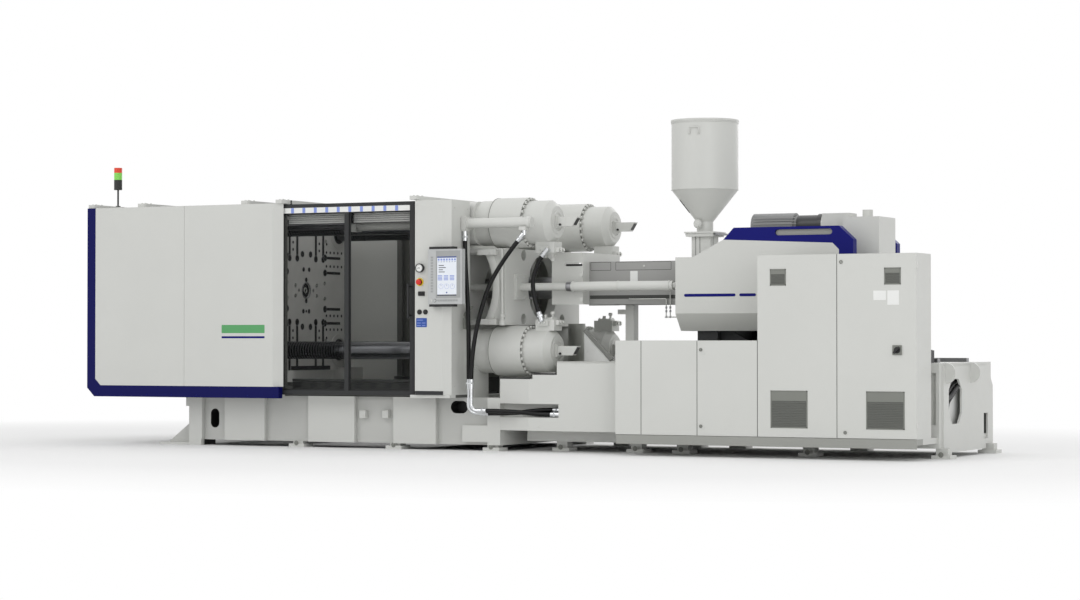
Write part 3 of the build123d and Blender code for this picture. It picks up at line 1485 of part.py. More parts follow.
# Shroud of the injection unit, open below and at the back
nose_x = x_face + shroud_nose_offset
crest_x = x_face + shroud_crest_offset
shroud_end = x_face + shroud_end_offset
with BuildPart() as injection_shroud:
    wall = cover_wall
    corner_low = shroud_crest_end - shroud_corner
    outer = (
        (guard_right, shroud_low), (guard_right, shroud_low_top), (nose_x, shroud_low_top),
        (crest_x, shroud_crest), (shroud_end - shroud_corner, shroud_crest_end), (shroud_end, corner_low),
        (shroud_end, shroud_low),
    )
    inner = (
        (guard_right + wall, shroud_low), (guard_right + wall, shroud_low_top - wall), (nose_x + 1, shroud_low_top - wall),
        (crest_x + 1, shroud_crest - wall), (shroud_end - shroud_corner - wall, shroud_crest_end - wall),
        (shroud_end, corner_low - 2 * wall), (shroud_end, shroud_low),
    )
    side_profile(outer, (-shroud_half, shroud_half))
    skirt = (
        (-shroud_half, shroud_low), (shroud_half, shroud_low), (skirt_half, skirt_low), (-skirt_half, skirt_low),
    )
    end_profile(skirt, (guard_right, shroud_end))
    side_profile(inner, (-shroud_half + wall, shroud_half - wall), mode=Mode.SUBTRACT)
    inner_skirt = (
        (-shroud_half + wall, shroud_low), (shroud_half - wall, shroud_low),
        (skirt_half - wall, skirt_low), (-skirt_half + wall, skirt_low),
    )
    end_profile(inner_skirt, (guard_right + wall, shroud_end), mode=Mode.SUBTRACT)
    rod("x", guard_right, guard_right + wall, (0, axis_height), barrel_radius + 3, mode=Mode.SUBTRACT)
    for side in (-1, 1):
        rod("x", guard_right, guard_right + wall, (side * pull_y, axis_height), pull_rod + 3, mode=Mode.SUBTRACT)
    notch_x = (guard_right, feed_x + throat_side / 2 + 15)
    block(notch_x, throat_notch, (axis_height, shroud_low_top), mode=Mode.SUBTRACT)
save(injection_shroud, "injection_shroud")

# Coloured band above and behind the shroud, on both sides
with BuildPart() as shroud_band:
    outline = (
        (crest_x, shroud_crest), (crest_x + band_rise, band_top), (shroud_end, band_top),
        (shroud_end + band_end, band_top - band_drop), (shroud_end + band_end, shroud_low),
        (shroud_end, shroud_low), (shroud_end, corner_low), (shroud_end - shroud_corner, shroud_crest_end),
    )
    slot_radius = band_slot_height / 2
    slot_start = x_face + band_slot_start + slot_radius
    slot_end = slot_start + band_slot_length - band_slot_height
    slot_z = (band_slot_low, band_slot_low + band_slot_height)
    for side in (-1, 1):
        side_profile(outline, (side * (shroud_half - band_side), side * shroud_half))
        slot_y = sorted((side * (shroud_half - band_slot_depth), side * shroud_half))
        block((slot_start, slot_end), slot_y, slot_z, mode=Mode.SUBTRACT)
        for x in (slot_start, slot_end):
            rod("y", slot_y[0], slot_y[1], (x, band_slot_low + slot_radius), slot_radius, mode=Mode.SUBTRACT)
save(shroud_band, "shroud_band")

# Hydraulic pump motor on top of the shroud
with BuildPart() as drive_motor:
    place = (top_motor_y, top_motor_level)
    motor_x = x_face + top_motor_start
    fan_x = motor_x + top_motor_length
    flange_x = fan_x + top_fan_length
    box_x = flange_x + top_flange_length
    rod("x", motor_x, fan_x, place, top_motor_radius)
    rod("x", fan_x, flange_x, place, top_fan_radius)
    rod("x", flange_x, box_x, place, top_flange_radius)
    housing_x = shroud_end - housing_step
    box_z = (top_motor_level - top_box_half, top_motor_level + top_box_half)
    block((box_x, housing_x), (top_motor_y - top_box_half, top_motor_y + top_box_half), box_z)
    slope = (shroud_crest - shroud_crest_end) / (shroud_end - crest_x)
    for start, end in ((motor_x + 60, motor_x + 130), (fan_x - 130, fan_x - 60), (box_x + 40, housing_x - 40)):
        foot_low = (shroud_crest - slope * (start - crest_x), shroud_crest - slope * (end - crest_x))
        foot = ((start, foot_low[0]), (end, foot_low[1]), (end, top_motor_level), (start, top_motor_level))
        side_profile(foot, (top_motor_y - 70, top_motor_y + 70))
save(drive_motor, "drive_motor")

# Rear housing of the injection unit
with BuildPart() as rear_housing:
    outline = (
        (shroud_end, plate_high), (shroud_end + housing_length, plate_high), (shroud_end + housing_length, housing_top),
        (housing_x, housing_top), (housing_x, housing_step_level), (shroud_end, housing_step_level),
    )
    side_profile(outline, (housing_front_y, housing_rear_y))
    vent = (shroud_end + vent_offset, -50)
    rod("z", housing_top, housing_top + vent_height, vent, vent_radius)
save(rear_housing, "rear_housing")

# Hopper: throat on the barrel, cone and bin
gate_low = throat_top + throat_flange
gate_high = gate_low + gate_plate
flange_top = gate_high + hopper_flange
with BuildPart() as hopper:
    neck = hopper_neck_radius
    bin_profile = (
        (neck, flange_top - hopper_flange), (neck, hopper_neck_top), (hopper_radius, hopper_shoulder),
        (hopper_radius, hopper_top), (hopper_radius - hopper_wall, hopper_top),
        (hopper_radius - hopper_wall, hopper_shoulder + 1), (neck - hopper_wall, hopper_neck_top + 1),
        (neck - hopper_wall, flange_top - hopper_flange),
    )
    with BuildSketch(Plane(origin=(feed_x, 0, 0), x_dir=(1, 0, 0), z_dir=(0, -1, 0))) as wall_section:
        with BuildLine():
            Polyline(*bin_profile, close=True)
        make_face()
    revolve(wall_section.sketch, axis=Axis((feed_x, 0, 0), (0, 0, 1)))
    half = hopper_flange_side / 2
    block((feed_x - half, feed_x + half), (-half, half), (gate_high, flange_top))
    rod("z", gate_high, flange_top, (feed_x, 0), neck - hopper_wall, mode=Mode.SUBTRACT)
    half = throat_side / 2
    block((feed_x - half, feed_x + half), (-half, half), (throat_root, throat_top))
    half = throat_flange_side / 2
    block((feed_x - half, feed_x + half), (-half, half), (throat_top, gate_low))
    for side in (-1, 1):
        rail_y = (side * (half - gate_rail), side * half)
        block((feed_x - half, feed_x + half), rail_y, (gate_low, gate_high))
    rod("z", throat_root, gate_low, (feed_x, 0), feed_radius, mode=Mode.SUBTRACT)
    rod("x", feed_x - throat_side, feed_x + throat_side, (0, axis_height), barrel_radius, mode=Mode.SUBTRACT)
save(hopper, "hopper")

# Slide gate between throat and hopper
with BuildPart() as hopper_gate:
    gate_z = (gate_low + running_gap, gate_high - running_gap)
    block((feed_x - gate_plate_start, feed_x + gate_plate_end), (-gate_plate_half, gate_plate_half), gate_z)
    rod("z", gate_z[0], gate_z[1], (feed_x, 0), feed_radius, mode=Mode.SUBTRACT)
save(hopper_gate, "hopper_gate")

# Hopper lid
with BuildPart() as hopper_lid:
    lid_low = hopper_top + running_gap
    lid_top = lid_low + lid_height
    rod("z", lid_low, lid_top, (feed_x, 0), hopper_radius + lid_rim)
save(hopper_lid, "hopper_lid")

# Cable chain on the base, folded back over itself
with BuildPart() as cable_chain:
    chain_x = x_face + chain_start_offset
    chain_pitch = chain_link + chain_gap
    middles = [chain_x + chain_link / 2 + number * chain_pitch for number in range(chain_links)]
    with Locations(*[(x, -chain_y, base_top + chain_height) for x in middles]):
        Box(chain_link, 2 * chain_half_width, 2 * chain_height)
    run_z = (base_top + chain_pin_inset, base_top + 2 * chain_height - chain_pin_inset)
    run_y = (-chain_y - chain_half_width + chain_pin_inset, -chain_y + chain_half_width - chain_pin_inset)
    block((middles[0], middles[-1]), run_y, run_z)
save(cable_chain, "cable_chain")

# Hose fittings: sleeves, elbows and the rigid tubes between the hoses
def sleeve(end, inward, length):
    """Crimped sleeve that runs from the end of a hose, away from it."""
    with BuildSketch(Plane(origin=end, z_dir=end - inward)) as ring:
        Circle(ferrule_radius)
    extrude(ring.sketch, amount=length)


def rigid_tube(*points, radius):
    """Bent steel tube."""
    with BuildLine() as route:
        FilletPolyline(*points, radius=radius)
    with BuildSketch(Plane(origin=route.line @ 0, z_dir=route.line % 0)) as ring:
        Circle(tube_radius)
    sweep(ring.sketch, path=route.line)


routes = {name: [Vector(*point) for point in points] for name, points in hose_routes.items()}
with BuildPart() as hose_fittings:
    for name in ("hose_a", "hose_b", "hose_c", "hose_d", "hose_e"):
        route = routes[name]
        sleeve(route[0], route[1], ferrule_length)
        sleeve(route[-1], route[-2], ferrule_length)
    # Tube from hose A down and across to hose C, and from hose B to hose D
    for upper, lower in (("hose_a", "hose_c"), ("hose_b", "hose_d")):
        top = routes[upper][-1]
        end = routes[lower][0]
        bend = min(end.X - top.X - ferrule_length, 100) - 10
        rigid_tube((top.X, top.Y, top.Z - ferrule_length), (top.X, top.Y, end.Z), (end.X - ferrule_length, end.Y, end.Z), radius=bend)
    # Elbow under the shift cylinder
    start = routes["hose_b"][0]
    along = (start - routes["hose_b"][1]).normalized()
    far = start + along * ferrule_length
    rod("z", far.Z - 14, port_low, (far.X + 6, far.Y), tube_radius)
    # Elbows on the valve blocks of the front clamp cylinders
    valve_face = -bar_y - valve_width / 2
    for end, inward in ((routes["hose_e"][0], routes["hose_e"][1]), (routes["hose_e"][-1], routes["hose_e"][-2])):
        along = (end - inward).normalized()
        far = end + along * (ferrule_length - 12)
        rod("y", far.Y - 18, valve_face, (far.X, far.Z), tube_radius)
save(hose_fittings, "hose_fittings")

# Hoses
for name, route in routes.items():
    radii = []
    for before, corner, after in zip(route, route[1:], route[2:]):
        turn = (corner - before).get_angle(after - corner)
        shorter = min((corner - before).length, (after - corner).length)
        radii.append(0.45 * shorter / math.tan(math.radians(turn / 2)))
    print(name, [round(radius) for radius in radii])
    with BuildPart() as hose:
        with BuildLine() as path:
            FilletPolyline(*route, radius=radii)
        with BuildSketch(Plane(origin=path.line @ 0, z_dir=path.line % 0)):
            Circle(hose_diameter / 2)
        sweep(path=path.line)
    length = sum(edge.length for edge in path.edges())
    print("  volume", round(hose.part.volume), "section by length", round(math.pi * hose_diameter ** 2 / 4 * length))
    save(hose, name)
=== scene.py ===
import math

import bmesh
import bpy
import numpy as np
from bpy.props import FloatProperty, FloatVectorProperty, IntProperty, PointerProperty
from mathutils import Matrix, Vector


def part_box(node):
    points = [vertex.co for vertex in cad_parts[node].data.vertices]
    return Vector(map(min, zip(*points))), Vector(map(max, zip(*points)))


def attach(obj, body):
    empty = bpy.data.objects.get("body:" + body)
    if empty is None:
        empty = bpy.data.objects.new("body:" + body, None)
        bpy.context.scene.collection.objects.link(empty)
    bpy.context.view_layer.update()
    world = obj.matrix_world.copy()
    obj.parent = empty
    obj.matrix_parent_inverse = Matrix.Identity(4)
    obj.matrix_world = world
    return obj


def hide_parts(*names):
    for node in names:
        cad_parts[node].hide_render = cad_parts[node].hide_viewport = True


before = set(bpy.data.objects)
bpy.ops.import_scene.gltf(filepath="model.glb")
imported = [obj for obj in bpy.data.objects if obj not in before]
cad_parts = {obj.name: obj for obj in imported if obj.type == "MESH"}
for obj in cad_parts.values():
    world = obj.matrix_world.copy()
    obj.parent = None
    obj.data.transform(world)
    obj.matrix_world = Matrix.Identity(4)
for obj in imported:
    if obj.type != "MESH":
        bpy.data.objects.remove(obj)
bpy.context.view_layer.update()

bl_info = {
    "name": "Injection moulding machine",
    "version": (1, 0, 0),
    "blender": (4, 5, 0),
    "location": "View3D > Sidebar > Machine",
    "description": "Finishes and fine parts of a two-platen injection moulding machine",
    "category": "Object",
}

# Levels and faces that several pieces share, in metres
AXIS = 1.695
BARS = [(y, z) for y in (-0.7, 0.7) for z in (1.03, 2.36)]
BAR_RADIUS = 0.095
RINGS_START = -2.763
GROOVE_WIDTH = 0.018
MOVING_FACE = -2.898
FIXED_FACE = -0.824
GUARD_FRONT = -1.42
DOOR_FRONT = -1.45
HOPPER_X = 1.94
FAR = 9.0


def sight(red, green, blue):
    """A colour as it is seen on a screen, from 0 to 255, made linear."""
    return tuple(((c / 255 + 0.055) / 1.055) ** 2.4 for c in (red, green, blue))


def facing(width, height):
    """Columns: a detail's width, its height and the way it faces."""
    width, height = np.array(width, float), np.array(height, float)
    return np.column_stack((width, height, np.cross(width, height)))


FRONT = facing((1, 0, 0), (0, 0, 1))
BACK = facing((-1, 0, 0), (0, 0, 1))
RIGHT = facing((0, 1, 0), (0, 0, 1))
LEFT = facing((0, -1, 0), (0, 0, 1))
TOP = facing((1, 0, 0), (0, 1, 0))
DOWN = facing((1, 0, 0), (0, -1, 0))


def spread(xs, ys, zs):
    """Every place with one of the xs, one of the ys and one of the zs, each many or one."""
    return [(x, y, z) for x in np.ravel(xs) for y in np.ravel(ys) for z in np.ravel(zs)]


def at_bars(x, dy=0.0, dz=0.0):
    """The same place beside each of the four tie bars."""
    return [(x, y + dy, z + dz) for y, z in BARS]


# Surfaces


def shell(points, ends=True):
    """A grid of points, rows by columns, as a surface closed round its columns, with flat ends."""
    rows, columns = points.shape[:2]
    row = np.arange(rows - 1)[:, None] * columns
    column = np.arange(columns)[None]
    after = (column + 1) % columns
    quads = np.stack((row + column, row + after, row + columns + after, row + columns + column), -1)
    caps = [np.arange(columns), (rows - 1) * columns + np.arange(columns)]
    return points.reshape(-1, 3), quads.reshape(-1, 4), caps if ends else []


def lathe(profile, sides=24):
    """Profile of (radius, height) carried round the outward axis: (r cos t, r sin t, h)."""
    radius, height = np.array(profile, float).T[:, :, None]
    turn = np.linspace(0, 2 * np.pi, sides, endpoint=False)
    points = np.stack(np.broadcast_arrays(radius * np.cos(turn), radius * np.sin(turn), height), -1)
    return shell(points, ends=profile[0] != profile[-1])


def prism(outline, height, bevel=0.0, base=0.0):
    """Outline carried outwards by height, its outer edge drawn in along the corner's mitre by the bevel."""
    outline = np.array(outline, float)
    ahead = np.roll(outline, -1, 0) - outline
    ahead /= np.linalg.norm(ahead, axis=1)[:, None]
    out = np.column_stack((ahead[:, 1], -ahead[:, 0]))
    mitre = out + np.roll(out, 1, 0)
    mitre /= (1 + (out * np.roll(out, 1, 0)).sum(1))[:, None]
    rows = [(outline, base), (outline, base + height - bevel)]
    if bevel:
        rows.append((outline - bevel * mitre, base + height))
    return shell(np.array([np.column_stack((row, np.full(len(row), level))) for row, level in rows]))


def slab(width, height, depth, corner=0.0, bevel=0.0, base=0.0):
    """Plate with a bevelled face, its corners quarter circles: centre + r (cos t, sin t).

    A corner is less than half a side, so that every edge has a length."""
    turn = np.linspace(0, np.pi / 2, 4 if corner else 1)[None] + np.arange(4)[:, None] * np.pi / 2
    x = np.array((1, -1, -1, 1))[:, None] * (width / 2 - corner) + corner * np.cos(turn)
    y = np.array((1, 1, -1, -1))[:, None] * (height / 2 - corner) + corner * np.sin(turn)
    return prism(np.column_stack((x.ravel(), y.ravel())), depth, bevel, base)


def bend(points, radius, steps=6):
    """A rigid pipe's path: each corner becomes the curve (1-t)^2 a + 2t(1-t) p + t^2 b."""
    points = np.array(points, float)
    corner = points[1:-1]
    a, b = [corner + radius * leg / np.linalg.norm(leg, axis=1)[:, None]
            for leg in (points[:-2] - corner, points[2:] - corner)]
    t = np.linspace(0, 1, steps)[None, :, None]
    curve = (1 - t) ** 2 * a[:, None] + 2 * t * (1 - t) * corner[:, None] + t ** 2 * b[:, None]
    return np.concatenate((points[:1], curve.reshape(-1, 3), points[-1:]))


def pipe(path, radius, sides=12, hint=(0.31, 0.17, 0.93)):
    """Part: a circle carried along a path, square to it: p + r (cos t side + sin t over)."""
    path = np.array(path, float)
    run = np.gradient(path, axis=0)
    run /= np.linalg.norm(run, axis=1)[:, None]
    side = np.cross(run, hint)
    side /= np.linalg.norm(side, axis=1)[:, None]
    over = np.cross(run, side)
    turn = np.linspace(0, 2 * np.pi, sides, endpoint=False)[None, :, None]
    points = path[:, None] + radius * (np.cos(turn) * side[:, None] + np.sin(turn) * over[:, None])
    return shell(points), np.eye(3), (0, 0, 0)


def make(name, finish, body, *parts, angle=35):
    """Makes one piece of parts: each a surface, the way it faces and its places."""
    points, faces, count = [], [], 0
    for (form, quads, caps), direction, *places in parts:
        places = np.array(places, float).reshape(-1, 3)
        points.append((places[:, None] + form @ direction.T).reshape(-1, 3))
        starts = count + len(form) * np.arange(len(places))
        faces += (quads[None] + starts[:, None, None]).reshape(-1, 4).tolist()
        for cap in caps:
            faces += (cap[None] + starts[:, None]).tolist()
        count += len(form) * len(places)
    mesh = bpy.data.meshes.new(name)
    mesh.from_pydata(np.concatenate(points), [], faces)
    work = bmesh.new()
    work.from_mesh(mesh)
    bmesh.ops.remove_doubles(work, verts=work.verts, dist=1e-6)
    bmesh.ops.recalc_face_normals(work, faces=work.faces)
    work.to_mesh(mesh)
    work.free()
    mesh.polygons.foreach_set("use_smooth", np.ones(len(mesh.polygons), bool))
    mesh.set_sharp_from_angle(angle=math.radians(angle))
    return dress(name, mesh, finish, body)


def dress(name, data, finish, body):
    """Links a new piece and gives it its finish and its body."""
    piece = bpy.data.objects.new(name, data)
    bpy.context.scene.collection.objects.link(piece)
    material, slot = FINISHES[finish]
    piece.data.materials.append(material)
    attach(piece, body)
    return piece


# Finishes


class Wire:
    """A shader socket that adds Math nodes where it is used in an expression."""

    def __init__(self, coat, socket):
        self.coat, self.socket = coat, socket

    def math(self, operation, first, second):
        return self.coat.node("ShaderNodeMath", {"operation": operation}, {0: first, 1: second})

    def __add__(self, other):
        return self.math("ADD", self, other)

    def __sub__(self, other):
        return self.math("SUBTRACT", self, other)

    def __rsub__(self, other):
        return self.math("SUBTRACT", other, self)

    def __mul__(self, other):
        return self.math("MULTIPLY", self, other)

    def __gt__(self, other):
        return self.math("GREATER_THAN", self, other)

    def __lt__(self, other):
        return self.math("LESS_THAN", self, other)

    def clamped(self):
        return self.coat.node("ShaderNodeClamp", {}, {0: self})

    def wave(self, pitch):
        """From -1 to 1 and back in every pitch."""
        return self.math("SINE", self * (2 * math.pi / pitch), 0)

    __radd__, __rmul__ = __add__, __mul__


class Graph:
    """A node tree whose sockets are fed from expressions."""

    def __init__(self, tree):
        self.tree = tree

    def feed(self, socket, value):
        if isinstance(value, Wire):
            self.tree.links.new(value.socket, socket)
        elif isinstance(value, tuple) and len(value) == 3 and socket.type == "RGBA":
            socket.default_value = (*value, 1)
        else:
            socket.default_value = value

    def node(self, kind, settings, values, output=0):
        """A node of that type: settings first, then the values or links of its sockets."""
        node = self.tree.nodes.new(kind)
        for key, value in settings.items():
            setattr(node, key, value)
        for key, value in values.items():
            self.feed(node.inputs[key], value)
        return Wire(self, node.outputs[output])

    def seen(self):
        """1 for what the camera sees straight, mirrored or through glass, 0 for light on things."""
        rays = [self.node("ShaderNodeLightPath", {}, {}, f"Is {ray} Ray")
                for ray in ("Camera", "Glossy", "Transmission")]
        return (rays[0] + rays[1] + rays[2]).clamped()


class Coat(Graph):
    """One finish: a principled shader and what feeds it."""

    def __init__(self, name, fixed=None):
        self.material = bpy.data.materials.new(name)
        self.material.use_nodes = True
        super().__init__(self.material.node_tree)
        self.shader = self.tree.nodes["Principled BSDF"]
        self.place = self.node("ShaderNodeTexCoord", {}, {}, "Object")
        for socket, value in (fixed or {}).items():
            self.feed(self.shader.inputs[socket], value)

    def along(self, axis):
        """Place along X, Y or Z, in metres."""
        return self.node("ShaderNodeSeparateXYZ", {}, {0: self.place}, axis)

    def noise(self, scale, detail=2.0, stretch=(1, 1, 1)):
        place = self.node("ShaderNodeMapping", {}, {"Vector": self.place, "Scale": stretch})
        return self.node("ShaderNodeTexNoise", {}, {"Vector": place, "Scale": scale, "Detail": detail})

    def mix(self, factor, first, second):
        """First colour where the factor is 0, second where it is 1."""
        return self.node("ShaderNodeMix", {"data_type": "RGBA"}, {0: factor, 6: first, 7: second}, 2)

    def cloud(self, colour, scale, detail, dark, light):
        """A colour that drifts between two strengths."""
        return self.mix(self.noise(scale, detail), tinted(colour, dark), tinted(colour, light))

    def colour(self, value):
        self.feed(self.shader.inputs["Base Color"], value)
        return self

    def zones(self, colour, *zones):
        """Another colour in each zone, given as {axis: (from, to)}; later zones lie on top."""
        for other, limits in zones:
            inside = 1
            for axis, (low, high) in limits.items():
                place = self.along(axis)
                inside = (place > low) * (place < high) * inside
            colour = self.mix(inside, colour, other)
        return self.colour(colour)

    def roughness(self, value):
        self.feed(self.shader.inputs["Roughness"], value)
        return self

    def bump(self, height, distance, strength=1.0):
        values = {"Height": height, "Distance": distance, "Strength": strength}
        self.feed(self.shader.inputs["Normal"], self.node("ShaderNodeBump", {}, values, "Normal"))
        return self


def tinted(colour, amount):
    return tuple(min(1.0, c * amount) for c in colour)


def paint(name, colour, rough=0.38, shine=0.5, peel=0.00012, uneven=0.03, *zones):
    """Sprayed paint: slow cloudiness, a little dust in the gloss and fine orange peel."""
    coat = Coat(name, {"Specular IOR Level": shine})
    coat.zones(coat.cloud(colour, 1.7, 4, 1 - uneven, 1 + uneven) if uneven else colour, *zones)
    coat.roughness(coat.noise(9, 4) * 0.16 + (rough - 0.08))
    return coat.bump(coat.noise(260, 2), peel)


def crinkle(name, colour):
    """Powder coat with a fine crinkled grain."""
    coat = paint(name, colour, 0.55, 0.3, 0.0003, 0.08)
    return coat.bump(coat.noise(600, 3), 0.0004)


def ground(name, colour, rough, stretch, metal=1.0):
    """Ground metal: fine lines along one axis and cloudy wear."""
    coat = Coat(name, {"Metallic": metal})
    lines = coat.noise(1, 3, stretch)
    coat.colour(coat.cloud(colour, 3, 4, 0.86, 1.1))
    coat.roughness(lines * 0.22 + (rough - 0.11))
    return coat.bump(lines, 0.00004)


def moulded(name, colour, rough=0.45):
    """Moulded plastic with a fine sparkled texture."""
    coat = Coat(name)
    coat.colour(coat.cloud(colour, 14, 3, 0.93, 1.06))
    coat.roughness(coat.noise(120, 2) * 0.14 + (rough - 0.07))
    return coat.bump(coat.noise(900, 2), 0.00008)


def platen_iron(name, colour, skin, outwards, start):
    """Painted casting whose mould face is milled: start is where the bare metal begins along X."""
    coat = Coat(name)
    x = coat.along("X")
    bare = x > start if outwards > 0 else x < start
    mill = coat.noise(1, 2, (4, 40, 900))
    metal = coat.cloud(colour, 4, 5, 0.8, 1.15)
    coat.colour(coat.mix(bare, coat.cloud(skin, 1.7, 4, 0.97, 1.03), metal))
    coat.roughness(mill * 0.2 + 0.32)
    coat.feed(coat.shader.inputs["Metallic"], bare * 0.12)
    return coat.bump(mill * bare + coat.noise(200, 2) * 0.6, 0.00012)


def bar_steel(name, colour, dark, pitch, count):
    """Tie bar steel with painted shade, a dark colour, in the grooves between its lock rings."""
    coat = ground(name, colour, 0.22, (400, 30, 30))
    x = coat.along("X")
    first = RINGS_START + GROOVE_WIDTH / 2
    zone = (x > first - pitch / 2) * (x < RINGS_START + pitch * (count + 1 / 3))
    # Painted shade: the dark colour lies in the grooves between the rings.
    groove_shade = ((x + (pitch / 4 - first)).wave(pitch) > 0.2) * zone
    return coat.colour(coat.mix(groove_shade, coat.cloud(colour, 3, 2, 0.9, 1), dark))


def motor_paint(name, body, coupling, box):
    """Motor with its fins, dark coupling and pale end box, told apart by their place along X."""
    coat = Coat(name).zones(body, (coupling, {"X": (3.018, FAR)}), (box, {"X": (3.29, FAR)}))
    coat.roughness(coat.noise(12, 3) * 0.2 + 0.26)
    return coat.bump(coat.noise(260, 2), 0.0002)


def lamp_tower(name, black, green, red):
    """Signal tower: black pole and foot, then a green and a red lamp with ribbed lenses."""
    lenses = 2.933
    coat = Coat(name).zones(black, (green, {"Z": (lenses, FAR)}), (red, {"Z": (3.012, FAR)}))
    z = coat.along("Z")
    coat.roughness(0.5 - (z > lenses) * 0.32 + coat.noise(80) * 0.06)
    return coat.bump(z.wave(0.0085), 0.0006, 0.6)


def hose_rubber(name, colour):
    """Rubber cover with the faint diagonal print of its wrapping cloth."""
    coat = Coat(name, {"Specular IOR Level": 0.28})
    x, y, z = coat.along("X"), coat.along("Y"), coat.along("Z")
    weave = (x + y + z).wave(0.0042) + (x - z + y * 0.6).wave(0.0042)
    coat.colour(coat.cloud(colour, 6, 4, 0.75, 1.5))
    coat.roughness(coat.noise(30, 3) * 0.2 + 0.24)
    return coat.bump(weave * 0.3 + coat.noise(300) * 0.4, 0.0002)


def pane(name, colour):
    """Clear safety pane, a little grey, with faint wipe marks."""
    coat = Coat(name, {"Alpha": 0.05, "Specular IOR Level": 0.3})
    coat.colour(coat.cloud(colour, 2, 3, 0.9, 1))
    return coat.roughness(coat.noise(5, 4) * 0.08 + 0.03)


FINISHES = {}


def mix_finishes(sizes, colours):
    """Makes every finish and pairs it with the record's slot."""
    grey, blue, black, guard, green, red, yellow = [tuple(getattr(colours, key)) for key in (
        "shell_grey", "trim_blue", "frame_black", "guard_grey", "stripe_green", "stop_red", "stop_yellow")]
    # The second grey is painted shade for the front below the cabinets.
    iron, plinth = sight(188, 188, 184), sight(152, 153, 148)
    # Painted shade: within these zones the bed's recessed bays are a little darker and the deepest hollows inside
    # it near black.
    shaded_recess = {"X": (-3.693, 0.135), "Y": (-1.1, 1.1), "Z": (-FAR, 0.544)}
    shadow_pits = {**shaded_recess, "Y": (-1.068, 1.068)}
    even = (0.38, 0.5, 0.00012, 0)
    by_slot = {
        "grey_paint": {
            "shell": (paint, grey),
            "casting": (paint, grey, 0.45, 0.5, 0.0004),
            # A dark grey for the rear gate and the ridges above it: painted shade inside the guard.
            "inner_grey": (paint, sight(96, 97, 91), 0.5, 0.2),
            "moving_platen": (platen_iron, iron, grey, 1, -2.966),
            "fixed_platen": (platen_iron, iron, grey, -1, -0.762),
            # Painted shade: the guard frame is a darker grey inside the guard, within Y 1.272 each side and below Z
            # 2.575.
            "frame": (paint, grey, *even, (sight(84, 85, 81), {"Y": (-1.272, 1.272), "Z": (-FAR, 2.575)})),
            # The bed's two zone colours are painted shade.
            "bed": (paint, grey, 0.45, 0.5, 0.0004, 0, (tinted(grey, 0.86), shaded_recess), (sight(30, 30, 29), shadow_pits)),
            # Painted shade: the base's front below the cabinets, Y below -1.25 and Z below 0.2075, takes the darker
            # grey.
            "base": (paint, grey, *even, (plinth, {"Y": (-FAR, -1.25), "Z": (-FAR, 0.2075)})),
            "plinth": (paint, plinth),
            # Painted shade: the shift cylinders are a darker grey inside the guard, below X -0.8.
            "shift": (paint, grey, *even, (sight(132, 133, 129), {"X": (-FAR, -0.8)})),
            "track": (paint, sight(188, 189, 186), 0.4),
            # Mid grey for seams, lines and the chute's hem, and painted shade: the flat ring behind the cap bolts.
            "gasket": (paint, sight(138, 139, 135), 0.6)},
        "mid_grey_paint": {
            "shade": (paint, sight(76, 77, 75), 0.5, 0.2),
            # Near black for the side pieces along the bed in the mould space: painted shade.
            "rail": (paint, sight(50, 51, 49), 0.5, 0.2),
            "guard": (paint, guard, 0.42),
            "motor": (motor_paint, sight(126, 127, 127), sight(52, 53, 53), grey),
            "grille": (paint, sight(124, 126, 120), 0.5),
            # The slats and the sheet behind them are darker grey: painted shade inside the grille.
            "louvre": (paint, sight(92, 94, 89), 0.5)},
        "blue_paint": {
            "blue": (paint, blue, 0.4, 0.15),
            # Painted shade: the trims at the rear, Y 1.0 to 1.4165, are dark grey, as seen inside the guard.
            "trims": (paint, tinted(blue, 0.55), 0.4, 0.15, 0.00012, 0, (sight(78, 79, 75), {"Y": (1.0, 1.4165)})),
            "green": (paint, green, 0.35),
            "strip_blue": (paint, sight(132, 150, 214), 0.35),
            "panel_blue": (paint, sight(38, 78, 160), 0.3),
            "navy": (paint, sight(40, 66, 140), 0.25)},
        "black_paint": {
            "black": (crinkle, black),
            # Near black standing for the dark inside of holes, slots and gaps: painted shade.
            "hole": (paint, sight(9, 9, 10), 0.7)},
        "steel": {
            "steel": (ground, sight(150, 150, 152), 0.36, (3, 160, 160)),
            "dark_steel": (ground, sight(44, 44, 46), 0.3, (400, 30, 30), 0.5),
            # The second colour is painted shade in the ring grooves.
            "bar": (bar_steel, sight(92, 93, 95), sight(16, 16, 17), sizes.ring_pitch, sizes.ring_count)},
        "chrome": {
            "zinc": (ground, sight(206, 207, 203), 0.34, (60, 60, 60)),
            "chrome": (ground, sight(214, 216, 218), 0.16, (2, 260, 260))},
        "hose": {"rubber": (hose_rubber, sight(11, 11, 12))},
        "glass": {"pane": (pane, sight(60, 64, 64))},
        "black_plastic": {
            "plastic": (moulded, sight(22, 22, 23)),
            "tower": (lamp_tower, sight(40, 42, 40), sight(140, 224, 92), sight(232, 70, 42))},
        "white_plastic": {
            "pale_plastic": (moulded, sight(184, 186, 186), 0.42),
            "key": (moulded, sight(160, 162, 162), 0.5),
            "plate": (paint, sight(232, 233, 231), 0.3),
            "lit": (paint, sight(233, 238, 246), 0.25)},
        "red_plastic": {
            "red": (moulded, red, 0.3),
            "yellow": (moulded, yellow, 0.35)},
    }
    for slot, coats in by_slot.items():
        for key, (mixer, *values) in coats.items():
            FINISHES[key] = (mixer(key, *values).material, slot)


